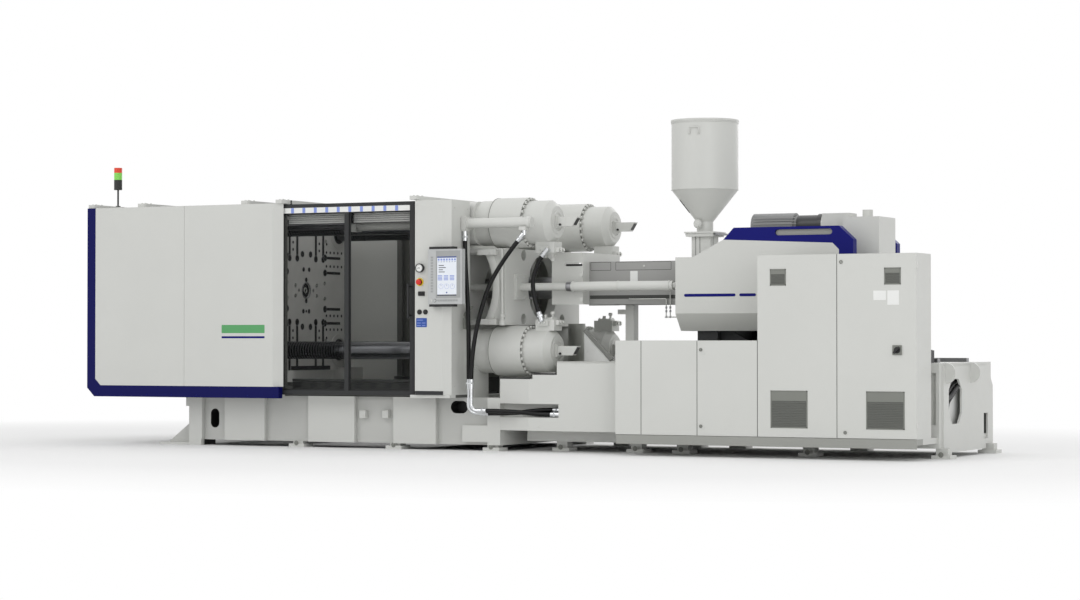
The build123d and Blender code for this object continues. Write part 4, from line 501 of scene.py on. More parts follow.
NODE_FINISHES = {
    "frame": "guard_frame",
    "trims": "guard_trims",
    "shell": "guard_panels control_column low_cabinet tall_cabinet low_left_door low_right_door tall_left_door "
             "tall_right_door injection_shroud rear_housing hopper hopper_lid purge_guard stroke_sensors "
             "carriage_cylinders carriage_rods",
    "bed": "clamp_bed",
    "base": "injection_base",
    "shift": "shift_cylinders",
    "casting": "clamp_cylinders cylinder_caps levelling_pads",
    "inner_grey": "rear_gate",
    "moving_platen": "movable_platen",
    "fixed_platen": "fixed_platen",
    "blue": "shroud_band",
    "black": "front_gate injection_carriage drive_head lock_jaws_front lock_jaws_rear",
    "guard": "barrel_guard",
    "motor": "drive_motor",
    "zinc": "cap_bolts",
    "steel": "slideways screw barrel heater_bands hopper_gate ejector",
    "dark_steel": "platen_guides shift_rods",
    "bar": "tie_bars",
    "chrome": "hose_fittings",
    "pane": "front_gate_panes",
    "rubber": "hose_a hose_b hose_c hose_d hose_e",
    "plastic": "cable_chain column_fittings main_switch left_push_button right_push_button",
    "tower": "signal_tower",
    "pale_plastic": "hmi",
    "red": "estop_button",
}


# Fine parts


def screw_head(radius, height):
    """Cap screw with a round socket in its head."""
    return lathe(((radius, 0), (radius, 0.82 * height), (0.86 * radius, height), (0.52 * radius, height),
                  (0.48 * radius, 0.5 * height), (0.0, 0.5 * height)), 16)


def hexagon(radius, height):
    """Nut: a six-sided lathe form with a chamfered top."""
    return lathe(((radius, 0), (radius, 0.86 * height), (0.88 * radius, height), (0.0, height)), 6)


def disc(radius, height=0.0012, base=-0.001, sides=24):
    """Flat disc, such as the floor of a hole."""
    return lathe(((radius, base), (radius, height), (0, height)), sides)


def ring(inner, outer, height, sides=24):
    """Flat ring with softened edges."""
    soft = 0.25 * min(height, outer - inner)
    return lathe(((inner, 0), (outer, 0), (outer, height - soft), (outer - soft, height), (inner + soft, height),
                  (inner, height - soft), (inner, 0)), sides)


class MachineSizes(bpy.types.PropertyGroup):
    """Sizes of the fine parts."""

    ring_pitch: FloatProperty(name="Ring pitch", description="Pitch of the lock rings on the tie bars",
                              default=0.033, unit="LENGTH")
    ring_count: IntProperty(name="Rings", description="Lock rings on each tie bar", default=24)
    ring_root: FloatProperty(name="Ring root", description="Radius between the rings", default=0.084, unit="LENGTH")
    bolt_count: IntProperty(name="Cap bolts", description="Bolts round each cylinder cap", default=24)
    hose_diameter: FloatProperty(name="Hose", description="Outer diameter of the hydraulic hoses",
                                 default=0.046, unit="LENGTH")
    louvre_pitch: FloatProperty(name="Louvre pitch", description="Pitch of the louvres in the grilles",
                                default=0.016, unit="LENGTH")
    view_turn: FloatProperty(name="View turn", description="Camera's turn about the vertical",
                             default=math.radians(26.8), subtype="ANGLE")
    view_pitch: FloatProperty(name="View pitch", description="Camera's upward tilt",
                              default=math.radians(0.905), subtype="ANGLE")
    view_lens: FloatProperty(name="Lens", description="Focal length in mm on a 36 mm sensor", default=86.5)


def swatch(name, words, value):
    return FloatVectorProperty(name=name, description=words, default=value, size=3, subtype="COLOR", min=0, max=1)


class MachineColours(bpy.types.PropertyGroup):
    """Colours of the machine."""

    shell_grey: swatch("Shell grey", "Paint of covers, castings and bed", sight(206, 207, 203))
    trim_blue: swatch("Trim blue", "Paint of the corner trims and the band", sight(12, 16, 108))
    frame_black: swatch("Frame black", "Coat of the sliding gate", sight(48, 49, 50))
    guard_grey: swatch("Guard grey", "Paint of the barrel guard and motor", sight(158, 158, 156))
    stripe_green: swatch("Stripe green", "Stripe on the front panel", sight(84, 158, 98))
    stop_red: swatch("Stop red", "Emergency stop", sight(214, 36, 26))
    stop_yellow: swatch("Stop yellow", "Ring under the emergency stop", sight(244, 208, 30))


class Solids(bpy.types.Operator):
    """Gives every solid of the frame its finish"""

    bl_idname = "machine.solids"
    bl_label = "Finish the solids"

    def execute(self, context):
        mix_finishes(context.scene.machine_sizes, context.scene.machine_colours)
        for finish, names in NODE_FINISHES.items():
            for name in names.split():
                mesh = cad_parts[name].data
                mesh.materials.clear()
                mesh.materials.append(FINISHES[finish][0])
        return {"FINISHED"}


class TieBars(bpy.types.Operator):
    """Tie bars with the full zone of lock rings"""

    bl_idname = "machine.tie_bars"
    bl_label = "Tie bars"

    def execute(self, context):
        sizes = context.scene.machine_sizes
        low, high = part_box("tie_bars")
        start = RINGS_START + sizes.ring_pitch * np.arange(sizes.ring_count)
        grooves = (start[:, None] + (0, 0.0012, GROOVE_WIDTH - 0.0012, GROOVE_WIDTH)).ravel()
        radii = np.tile((BAR_RADIUS, sizes.ring_root, sizes.ring_root, BAR_RADIUS), sizes.ring_count)
        profile = [(0.084, low.x), (BAR_RADIUS, low.x + 0.012), *zip(radii, grooves)]
        profile += [(BAR_RADIUS, -1.94), (0.089, -1.936), (0.089, -1.912), (BAR_RADIUS, -1.908)]
        profile += [(BAR_RADIUS, 0.06), (0.2046, 0.06), (0.2046, 0.12), (BAR_RADIUS, 0.12)]
        profile.append((BAR_RADIUS, high.x))
        bars = make("ringed_tie_bars", "bar", "tie_bar_set", (lathe(profile, 72), RIGHT, *at_bars(0)), angle=25)
        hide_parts("tie_bars")
        return {"FINISHED"}


class PlatenFaces(bpy.types.Operator):
    """Slot ends, ejector holes, tapped holes and plugs on both mould faces"""

    bl_idname = "machine.platen_faces"
    bl_label = "Platen faces"

    def execute(self, context):
        columns, rows, signs = (-0.347, -0.188, 0.203, 0.36), (-0.365, -0.205, 0.205, 0.375), (-1, 1)
        slot_ends = [(y, s * 0.355) for y in columns for s in signs] + [(s * 0.4, z) for z in rows for s in signs]
        ejector_holes = {0.034: ((-0.08, 0.404), (0.09, 0.404), (-0.08, -0.406), (0.09, -0.406)),
                         0.024: ((-0.055, 0.233), (0.062, 0.233), (0, 0.118), (0, -0.118), (-0.06, -0.233),
                                 (0.06, -0.233)),
                         0.014: ((0, -0.233),)}
        quarter = [(0.43 + 0.082 * k, z) for z in (0.28, 0.436) for k in range(5)]
        quarter += [(0.275, 0.45), (0.275, 0.53), (0.435, 0.53)]
        tapped = [(s * y, t * z) for s in signs for t in signs for y, z in quarter]
        half = ((0.392, 0.086), (0.392, -0.087), (0.222, 0.058), (0.222, -0.058))
        plugs = [(s * y, z) for s in signs for y, z in half]
        upright = [(y, s * 0.6225) for y in columns for s in signs]
        level = [(s * 0.565, z) for z in rows for s in signs]
        sides = (("moving", RIGHT, MOVING_FACE, "moving_platen"), ("fixed", LEFT, FIXED_FACE, "machine"))
        for word, direction, face, body in sides:

            def on_face(form, places):
                return form, direction, *[(face, y, AXIS + z) for y, z in places]

            # Painted shade: the black discs and strips stand for the dark inside of holes and T-slots, and the long
            # bar on the moving face for the shade of a recess near its foot.
            holes = [on_face(disc(0.036), slot_ends), on_face(disc(0.015, sides=12), tapped),
                     on_face(disc(0.02), plugs), on_face(slab(0.044, 0.535, 0.0022, base=-0.001), upright),
                     on_face(slab(0.33, 0.03, 0.0022, base=-0.001), level)]
            rims = [on_face(ring(0.036, 0.041, 0.0016), slot_ends), on_face(ring(0.015, 0.018, 0.0016), tapped)]
            caps = [on_face(ring(0.019, 0.027, 0.004), plugs), on_face(screw_head(0.01, 0.005), plugs)]
            for radius, places in ejector_holes.items():
                holes.append(on_face(disc(radius), places))
                rims.append(on_face(ring(radius, radius + 0.004, 0.002), places))
            if word == "moving":
                holes += [(slab(0.83, 0.046, 0.003, base=-0.001), direction, (face, 0.1, 0.829)),
                          (disc(0.0795, 0, -0.004, 48), direction, (face - 0.012, 0, AXIS))]
                rims.append((ring(0.08, 0.094, 0.006), direction, (face, 0, AXIS)))
                caps.append((ring(0.018, 0.034, 0.008), direction, (face - 0.013, 0, AXIS)))
            make(word + "_face_holes", "hole", body, *holes)
            make(word + "_face_rims", "steel", body, *rims)
            make(word + "_face_plugs", "zinc", body, *caps)
        low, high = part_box("platen_guides")
        shoe = slab(high.x - low.x, 0.2, 0.078, 0.004, 0.004)
        bushes = make("bar_bushes", "dark_steel", "moving_platen",
                      (ring(0.0965, 0.124, 0.048), RIGHT, *at_bars(-2.938)),
                      (shoe, TOP, *spread((low.x + high.x) / 2, (-0.86, 0.86), low.z)))
        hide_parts("platen_guides")
        make("bush_flanges", "moving_platen", "moving_platen",
             (ring(0.126, 0.184, 0.008), RIGHT, *at_bars(MOVING_FACE)))
        return {"FINISHED"}


class ClampCylinders(bpy.types.Operator):
    """Bolt rings, seams, painted shade behind the bolts and sensor ends of the clamp cylinders"""

    bl_idname = "machine.clamp_cylinders"
    bl_label = "Clamp cylinders"

    def execute(self, context):
        turn = np.linspace(0, 2 * np.pi, context.scene.machine_sizes.bolt_count, endpoint=False) + 0.09
        circle = 0.243 * np.column_stack((0 * turn, np.cos(turn), np.sin(turn)))
        bolts = make("cap_bolt_rings", "shell", "machine",
                     (screw_head(0.0165, 0.02), RIGHT, np.array(at_bars(0.281))[:, None] + circle))
        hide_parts("cap_bolts")
        make("cylinder_seams_and_bolt_shade", "gasket", "machine",
             (ring(0.2355, 0.2375, 0.004), RIGHT, *at_bars(-0.104)),
             (ring(0.2585, 0.2622, 0.008, 96), RIGHT, *at_bars(-0.092)),
             # Painted shade: the wide flat ring behind the cap bolts darkens the gaps between them.
             (ring(0.226, 0.2595, 0.002, 96), RIGHT, *at_bars(0.281)))
        corners = [at_bars(0.608, dy, dz) for dy in (-0.053, 0.053) for dz in (-0.053, 0.053)]
        make("cap_end_rings", "shell", "machine",
             (ring(0.093, 0.124, 0.006), RIGHT, *at_bars(0.586)), (screw_head(0.0065, 0.007), RIGHT, *corners),
             (slab(0.004, 0.082, 0.002), FRONT, *at_bars(0.7, -0.045)))
        slant = facing((0, 1, 0), (0.53, 0, 0.848))
        make("sensor_end_plugs", "plastic", "machine",
             (slab(0.066, 0.082, 0.004, 0.006, 0.001), slant, *at_bars(0.806)),
             (lathe(((0.012, 0), (0.012, 0.014), (0.009, 0.018), (0, 0.018)), 16), FRONT,
              *at_bars(0.64, -0.045, -0.03)))
        return {"FINISHED"}


HOSES = {
    "hose_a": (1.53, ((-0.268, -1.13, 2.214), (-0.268, -1.13, 1.985), (-0.205, -1.185, 1.56),
                      (-0.186, -1.2, 1.12), (-0.186, -1.2, 0.688))),
    "hose_b": (1.63, ((0.372, -1.116, 2.19), (0.1, -1.185, 1.85), (-0.05, -1.23, 1.4),
                      (-0.13, -1.25, 0.95), (-0.13, -1.25, 0.688))),
    "hose_c": (0.81, ((-0.004, -1.2, 0.389), (0.33, -1.2, 0.389), (0.6, -1.11, 0.43),
                      (0.796, -1.11, 0.43))),
    "hose_d": (0.81, ((-0.004, -1.25, 0.416), (0.33, -1.25, 0.416), (0.6, -1.17, 0.385),
                      (0.796, -1.17, 0.385))),
    "hose_e": (0.7, ((0.505, -0.83, 2.04), (0.415, -0.838, 1.935), (0.35, -0.85, 1.655),
                      (0.455, -0.842, 1.38))),
}


class Hoses(bpy.types.Operator):
    """Hydraulic hoses with their crimped ends"""

    bl_idname = "machine.hoses"
    bl_label = "Hoses"

    def execute(self, context):
        diameter = context.scene.machine_sizes.hose_diameter
        grooves = np.repeat(np.linspace(0.008, 0.04, 5), 4) + np.tile((0, 0.001, 0.003, 0.004), 5)
        radii = np.tile((0.0285, 0.0272, 0.0272, 0.0285), 5)
        ferrule = lathe([(0.024, 0), (0.0285, 0.002), *zip(radii, grooves), (0.0285, 0.049), (0.024, 0.052)], 28)
        for name, (length, route) in HOSES.items():
            curve = bpy.data.curves.new(name + "_rubber", "CURVE")
            curve.dimensions = "3D"
            spline = curve.splines.new("NURBS")
            spline.points.add(len(route) - 1)
            spline.points.foreach_set("co", np.column_stack((route, np.ones(len(route)))).ravel())
            spline.order_u = 3
            spline.use_endpoint_u = True
            curve.bevel_depth = diameter / 2
            curve.bevel_resolution = 6
            curve.resolution_u = 16
            curve.use_fill_caps = True
            hose = dress(name + "_rubber", curve, "rubber", "machine")
            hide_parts(name)
            ends = []
            for end, inner in ((0, 1), (-1, -2)):
                away = np.array(route[inner]) - route[end]
                away /= np.linalg.norm(away)
                side = np.cross((0.31, 0.17, 0.93), away)
                side /= np.linalg.norm(side)
                square = facing(side, np.cross(away, side))
                ends += [(ferrule, square, route[end]), (hexagon(0.0325, 0.018), square, route[end])]
            crimps = make(name + "_crimps", "chrome", "machine", *ends, angle=20)
        return {"FINISHED"}


class Screen(bpy.types.Operator):
    """Operator's screen: glass, display, keys and knobs"""

    bl_idname = "machine.screen"
    bl_label = "Operator's screen"

    def execute(self, context):
        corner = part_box("hmi")[0]
        body = "screen_unit"

        def at(x, z, out=0.0):
            return corner.x + x, corner.y + 0.005 - out, corner.z + z

        def show(x, z, width, height):
            return slab(width, height, 0.0004), FRONT, at(x, z, 0.0012)

        make("screen_glass", "key", body,
             (slab(0.281, 0.478, 0.0035, 0.004, 0.0008, -0.003), FRONT, at(0.2335, 0.305)))
        make("screen_display", "lit", body, (slab(0.225, 0.4, 0.0006), FRONT, at(0.2195, 0.286, 0.0006)))
        dials = [0.152 + 0.066 * k for k in range(3)]
        navy = [show(0.2195, 0.48, 0.225, 0.012), (disc(0.008, 0.0005, 0, 20), FRONT, at(0.218, 0.118, 0.0012))]
        navy += [show(0.125 + 0.0315 * k, 0.432, 0.016, 0.004) for k in range(7)]
        navy += [show(x, 0.192, 0.003, 0.018) for x in dials]
        navy += [show(0.12 + 0.0285 * k, 0.092, 0.014, 0.011) for k in range(8)]
        make("display_navy", "navy", body, *navy)
        pale = [show(0.125 + 0.0315 * k, 0.455, 0.02, 0.02) for k in range(7)]
        pale += [show(0.14 + 0.07 * k, 0.29 - 0.014 * j, 0.052, 0.008) for k in range(3) for j in range(4)]
        dial = lathe(((0.0245, 0), (0.0265, 0), (0.0265, 0.0005), (0.0245, 0.0005), (0.0245, 0)), 28)
        pale.append((dial, FRONT, *[at(x, 0.182, 0.0012) for x in dials]))
        make("display_pale", "strip_blue", body, *pale)
        dark = [show(0.125 + width / 2, 0.395 - 0.022 * k, width, 0.007)
                for k, width in enumerate((0.06, 0.082, 0.05, 0.07))]
        make("display_dark", "plastic", body, *dark, show(0.2195, 0.092, 0.225, 0.01))
        places = [at(0.045, 0.13 + 0.029 * k) for k in range(13)]
        places += [at(0.122 + 0.03 * k, 0.038) for k in range(8)]
        make("screen_keys", "key", body, (slab(0.026, 0.018, 0.003, 0.003, 0.001), FRONT, *places))
        knob = lathe(((0.0165, 0), (0.0165, 0.003), (0.014, 0.0048), (0, 0.0048)), 24)
        make("screen_port", "zinc", body,
             (knob, FRONT, at(0.029, 0.036)), (ring(0.015, 0.019, 0.002), FRONT, at(0.029, 0.036)))
        make("screen_knob", "plastic", body, (knob, FRONT, at(0.08, 0.036)))
        return {"FINISHED"}


class ColumnControls(bpy.types.Operator):
    """Gauge, emergency stop, socket, buttons and the plate on the operator's column"""

    bl_idname = "machine.column_controls"
    bl_label = "Column controls"

    def execute(self, context):
        gauge = np.array((-0.63, GUARD_FRONT - 0.03, 1.881))
        make("gauge_rim", "dark_steel", "machine", (ring(0.038, 0.0465, 0.006), FRONT, gauge))
        make("gauge_dial", "plate", "machine", (disc(0.04, 0.0015, 0, 32), FRONT, gauge))
        marks = [(disc(0.005, 0.003, 0, 16), FRONT, gauge - (0, 0.0015, 0))]
        strokes = [(angle, (0.0016, 0.007, 0.0006), 0.031, 0.0015) for angle in np.linspace(-2.35, 2.35, 13)]
        for angle, size, reach, out in (*strokes, (-1.7, (0.002, 0.03, 0.001), 0.012, 0.0018)):
            up = np.array((math.sin(angle), 0, math.cos(angle)))
            across = (math.cos(angle), 0, -math.sin(angle))
            marks.append((slab(*size), facing(across, up), gauge + reach * up - (0, out, 0)))
        make("gauge_marks", "plastic", "machine", *marks)
        stop = (-0.637, GUARD_FRONT, 1.737)
        make("stop_ring", "yellow", "machine", (ring(0.0312, 0.0415, 0.0128, 48), FRONT, stop))
        turn = np.linspace(0, 2 * np.pi, 48, endpoint=False)
        radius, level = np.array(((0.02, 0), (0.0285, 0.003), (0.0295, 0.012), (0.0275, 0.021), (0.02, 0.0252),
                                  (0.006, 0.0262))).T[:, :, None]
        grip = radius * (1 + 0.035 * np.cos(8 * turn) * (radius > 0.025))
        cap = np.stack(np.broadcast_arrays(grip * np.cos(turn), grip * np.sin(turn), level), -1)
        make("stop_cap", "red", "stop_button",
             (shell(cap), FRONT, (stop[0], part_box("estop_button")[0].y + 0.0245, stop[2])))
        make("socket_frame", "plastic", "machine",
             (ring(0.01, 0.0135, 0.004), FRONT, *spread((-0.633, -0.603), GUARD_FRONT - 0.018, 1.617)),
             (slab(0.074, 0.046, 0.006, 0.004, 0.0015), FRONT, (-0.618, GUARD_FRONT, 1.617)))
        buttons = {"left": -0.641, "right": -0.571}
        make("button_rims", "plastic", "machine",
             (ring(0.0163, 0.026, 0.0115), FRONT, *spread(tuple(buttons.values()), GUARD_FRONT, 1.428)))
        button = lathe(((0.015, 0), (0.015, 0.0008), (0.0125, 0.0016), (0, 0.002)), 24)
        for side, x in buttons.items():
            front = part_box(side + "_push_button")[0].y
            make(side + "_button_cap", "plastic", side + "_button", (button, FRONT, (x, front, 1.428)))
        plate = np.array((-0.619, GUARD_FRONT, 1.319))
        make("column_plate", "panel_blue", "machine", (slab(0.126, 0.094, 0.0025, 0.006, 0.001), FRONT, plate))
        bars = ((-0.018, 0.026, 0.07), (-0.03, -0.004, 0.046), (0.028, -0.004, 0.04), (-0.03, -0.03, 0.046),
                (0.028, -0.03, 0.04))
        make("column_plate_bars", "strip_blue", "machine",
             *[(slab(width, 0.007, 0.0006, 0.002), FRONT, plate + (x, -0.0025, z)) for x, z, width in bars])
        make("column_kick_plate", "black", "machine",
             (slab(0.33, 0.04, 0.002, 0.002, 0.0005), FRONT, (-0.53, GUARD_FRONT, 0.596)))
        arm = bend(((-0.268, -0.99, 1.48), (-0.258, -1.01, 1.482), (-0.258, -1.15, 1.405),
                    (-0.258, -1.15, 1.262)), 0.03)
        grip = lathe(((0.015, 0), (0.021, 0.004), (0.022, 0.11), (0.016, 0.122), (0, 0.124)), 20)
        make("column_lever_grip", "grille", "machine", pipe(arm, 0.015, 14), (grip, TOP, (-0.258, -1.15, 1.25)))
        make("column_screws", "zinc", "machine",
             (screw_head(0.006, 0.004), RIGHT, *spread(-0.3, (-1.3, -1.02), (0.66, 1.21, 2.5))),
             (screw_head(0.006, 0.004), FRONT, *spread((-0.672, -0.405), GUARD_FRONT, (0.62, 2.53))))
        return {"FINISHED"}


class Guarding(bpy.types.Operator):
    """Stripes, bolts, strip, pane seals, track and rails of the guards and the gate"""

    bl_idname = "machine.guarding"
    bl_label = "Guarding"

    def execute(self, context):
        for word, height, z in (("green", 0.088, 1.258), ("blue", 0.022, 1.17)):
            make("front_stripe_" + word, word, "machine",
                 (slab(0.545, height, 0.0012, 0.004, 0.0005), FRONT, (-2.803, GUARD_FRONT, z)))
        across = np.linspace(-4.7, -2.42, 8)
        make("trim_screws", "blue", "machine",
             (screw_head(0.007, 0.004), FRONT, *spread(across, GUARD_FRONT, 0.548)),
             (screw_head(0.007, 0.004), BACK, *spread(across, -GUARD_FRONT - 0.0042, 0.548)))
        beams = [x + dx for x in (-4.806, -4.146, -2.805, -2.37, -0.735) for dx in (-0.022, 0.022)]
        make("cross_member_bolts", "zinc", "machine",
             (hexagon(0.012, 0.009), TOP, *spread(beams, (-1.34, -1.24, 1.24, 1.34), 2.63)))
        make("gate_strip", "plate", "operator_gate",
             (slab(1.555, 0.056, 0.002, 0.003, 0.0008), FRONT, (-1.592, -1.3203, 2.512)))
        make("gate_strip_blues", "strip_blue", "operator_gate",
             (slab(0.036, 0.054, 0.0006, 0.002), FRONT, *spread(-2.245 + 0.1415 * np.arange(10), -1.3223, 2.512)))
        seals = []
        for start, end in ((-2.37, -1.605), (-1.552, -0.815)):
            seals += [(slab(end - start, 0.012, 0.01, 0, 0.003), FRONT,
                       *spread((start + end) / 2, -1.294, (0.617, 2.476))),
                      (slab(0.012, 1.86, 0.01, 0, 0.003), FRONT,
                       *spread((start + 0.006, end - 0.006), -1.294, 1.5465))]
        make("pane_seals", "plastic", "operator_gate", *seals)
        make("gate_handle_collars", "black", "operator_gate",
             (lathe(((0.0135, 0), (0.017, 0.004), (0.017, 0.02), (0.0135, 0.024)), 20), TOP,
              *spread(-0.802, -1.38, (1.372, 1.693))))
        make("gate_track_ridges", "track", "machine",
             (slab(1.59, 0.018, 0.01, 0.002, 0.004), FRONT,
              *spread(-1.555, -1.222, 2.383 + 0.0213 * np.arange(5))))
        # Painted shade: black behind and beside the track ridges, between them.
        make("gate_track_back", "hole", "machine",
             (slab(1.59, 0.118, 0.018, 0, 0.002), FRONT, (-1.555, -1.205, 2.426)),
             (slab(0.052, 0.17, 0.018, 0, 0.002), FRONT, *spread((-2.352, -0.758), -1.205, 2.545)),
             (slab(0.058, 0.118, 0.016, 0, 0.002), FRONT, (-1.575, -1.22, 2.426)))
        gap = prism(((-0.028, -0.027), (0.028, -0.027), (0.055, 0.027), (-0.055, 0.027)), 0.002)
        rails, gaps = [], []
        for direction, side in ((FRONT, -1), (BACK, 1)):
            rails += [(slab(1.6, 0.15, 0.07, 0, 0.003), direction, (-1.57, side * 1.05, 0.62)),
                      (slab(1.6, 0.03, 0.078, 0, 0.006), direction, (-1.57, side * 1.05, 0.712))]
            gaps += [(gap, direction, *spread(-2.294 + 0.184 * np.arange(9), side * 1.1195, 0.661)),
                     (slab(1.6, 0.016, 0.002), direction, (-1.57, side * 1.1195, 0.612))]
        make("bed_side_rails", "rail", "machine", *rails)
        # Painted shade: black gaps and a strip along the side pieces.
        make("bed_side_rail_gaps", "hole", "machine", *gaps)
        # The ridges take the dark grey: painted shade.
        make("rear_guide_ridges", "inner_grey", "machine",
             (slab(2.28, 0.124, 0.004), FRONT, (-1.905, 1.209, 2.562)),
             (slab(2.28, 0.026, 0.016, 0.004, 0.006, 0.003), FRONT,
              *spread(-1.905, 1.209, 2.522 + 0.04 * np.arange(3))))
        return {"FINISHED"}


def louvres(x, z, pitch):
    """Filter grille: a frame with a hood, and slats whose section leans outwards at its foot."""
    band, middle, level = 0.012, sum(x) / 2, sum(z) / 2
    width, height = x[1] - x[0], z[1] - z[0]
    hood = 0.24 * height
    edge = {"depth": 0.005, "corner": 0.001, "bevel": 0.0015, "base": -0.001}
    border = [
        (slab(width, band, **edge), FRONT, *spread(middle, DOOR_FRONT, (z[0] + band / 2, z[1] - band / 2))),
        (slab(band, height, **edge), FRONT, *spread((x[0] + band / 2, x[1] - band / 2), DOOR_FRONT, level)),
        (slab(width - 2 * band, hood, 0.004, 0, 0.001), FRONT, (middle, DOOR_FRONT, z[1] - band - hood / 2))]
    section = np.array(((0.0, 0.0005), (0.6 * pitch, 0.0005), (0.5 * pitch, 0.002), (0.1 * pitch, 0.0042)))
    slat = np.stack([np.column_stack((np.full(4, s * (width / 2 - band)), section)) for s in (-1, 1)])
    count = int((height - hood - 2 * band) / pitch)
    levels = z[0] + band + pitch * (np.arange(count) + 0.2)
    # The flat dark sheet behind the slats is painted shade.
    slats = [(slab(width - band, height - band, 0.0015, base=-0.001), FRONT, (middle, DOOR_FRONT, level)),
             (shell(slat), FRONT, *spread(middle, DOOR_FRONT, levels))]
    return border, slats


class Cabinets(bpy.types.Operator):
    """Grilles, locks, hinges, plates, skirt and end pieces of the cabinets, with painted shade on the skirt and
    painted light in the end opening
    """

    bl_idname = "machine.cabinets"
    bl_label = "Cabinets"

    def execute(self, context):
        pitch = context.scene.machine_sizes.louvre_pitch
        grilles = {"tall_left_upper": ("door_3", (3.237, 3.401), (1.661, 1.821)),
                   "tall_left_lower": ("door_3", (3.242, 3.62), (0.296, 0.655)),
                   "tall_right_upper": ("door_4", (4.39, 4.554), (1.661, 1.821)),
                   "tall_right_lower": ("door_4", (4.209, 4.589), (0.296, 0.655))}
        for name, (body, x, z) in grilles.items():
            border, slats = louvres(x, z, pitch)
            make(name + "_frame", "grille", body, *border)
            make(name + "_louvres", "louvre", body, *slats)
        slot = facing((0.8, 0, 0.6), (-0.6, 0, 0.8))
        locks = {"door_2": ((2.515, 1.045), (2.515, 0.3)), "door_4": ((3.96, 1.88), (4.0, 0.262))}
        for body, places in locks.items():
            places = [(x, DOOR_FRONT - 0.003, z) for x, z in places]
            make(body + "_locks", "grille", body, (ring(0.009, 0.017, 0.0045), FRONT, *places),
                 (slab(0.016, 0.004, 0.003, 0.001), slot, *places))
        make("door_plates", "plate", "door_4",
             (slab(0.125, 0.09, 0.0015, 0.004, 0.0006), FRONT, (4.345, DOOR_FRONT, 1.56)),
             (slab(0.115, 0.135, 0.0015, 0.004, 0.0006), FRONT, (4.478, DOOR_FRONT, 1.538)))
        make("switch_plate", "grille", "door_4",
             (slab(0.094, 0.094, 0.004, 0.005, 0.0015), FRONT, (4.519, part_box("tall_right_door")[0].y, 1.044)))
        pin = lathe(((0.005, 0), (0.0065, 0.002), (0.0065, 0.058), (0.005, 0.06)), 12)
        for body, x, levels in (("door_1", 1.872, (0.29, 0.98)), ("door_4", 4.71, (0.31, 1.81))):
            make(body + "_hinges", "zinc", "machine", (pin, TOP, *spread(x, DOOR_FRONT + 0.006, levels)))
        foot = 0.21
        edges = ((1.875, 1.132), (2.474, 1.132), (3.106, 1.135), (3.917, 1.954))
        make("door_seals", "shade", "machine",
             *[(slab(0.0065, top - foot, 0.0206), FRONT, (x, DOOR_FRONT + 0.02, (top + foot) / 2))
               for x, top in edges])
        # Painted shade: a darker grey skirt below the cabinet doors.
        make("plinth_skirt", "plinth", "machine",
             (slab(3.105, 0.092, 0.01, 0, 0.003), FRONT, (3.152, -1.436, 0.161)))
        make("connection_box_screws", "zinc", "machine",
             (screw_head(0.006, 0.003), FRONT, (0.2, -1.2, 0.7), *spread((0.62, 1.02, 1.48), -1.2, 0.262)))
        # Painted light: a pale sheet just inside the end opening, standing in for the light seen through the open
        # base.
        make("end_light_sheet", "plate", "machine",
             (slab(0.78, 0.6, 0.003, 0.004, 0.0006), RIGHT, (4.664, -0.27, 0.54)))
        # Painted shade: the end slot's floor is black.
        make("end_slot_floor", "hole", "machine", (slab(0.16, 0.24, 0.004), RIGHT, (4.712, 0.6, 0.325)))
        routes = {0.016: ((4.69, -0.2, 0.745), (4.69, -0.555, 0.6), (4.69, -0.56, 0.38)),
                  0.024: ((4.712, -0.19, 0.705), (4.712, -0.5, 0.58), (4.712, -0.59, 0.575)),
                  0.014: ((4.7, -0.21, 0.66), (4.7, -0.48, 0.53), (4.7, -0.53, 0.4))}
        make("end_cables", "plastic", "machine", *[pipe(bend(route, 0.04), r) for r, route in routes.items()])
        return {"FINISHED"}


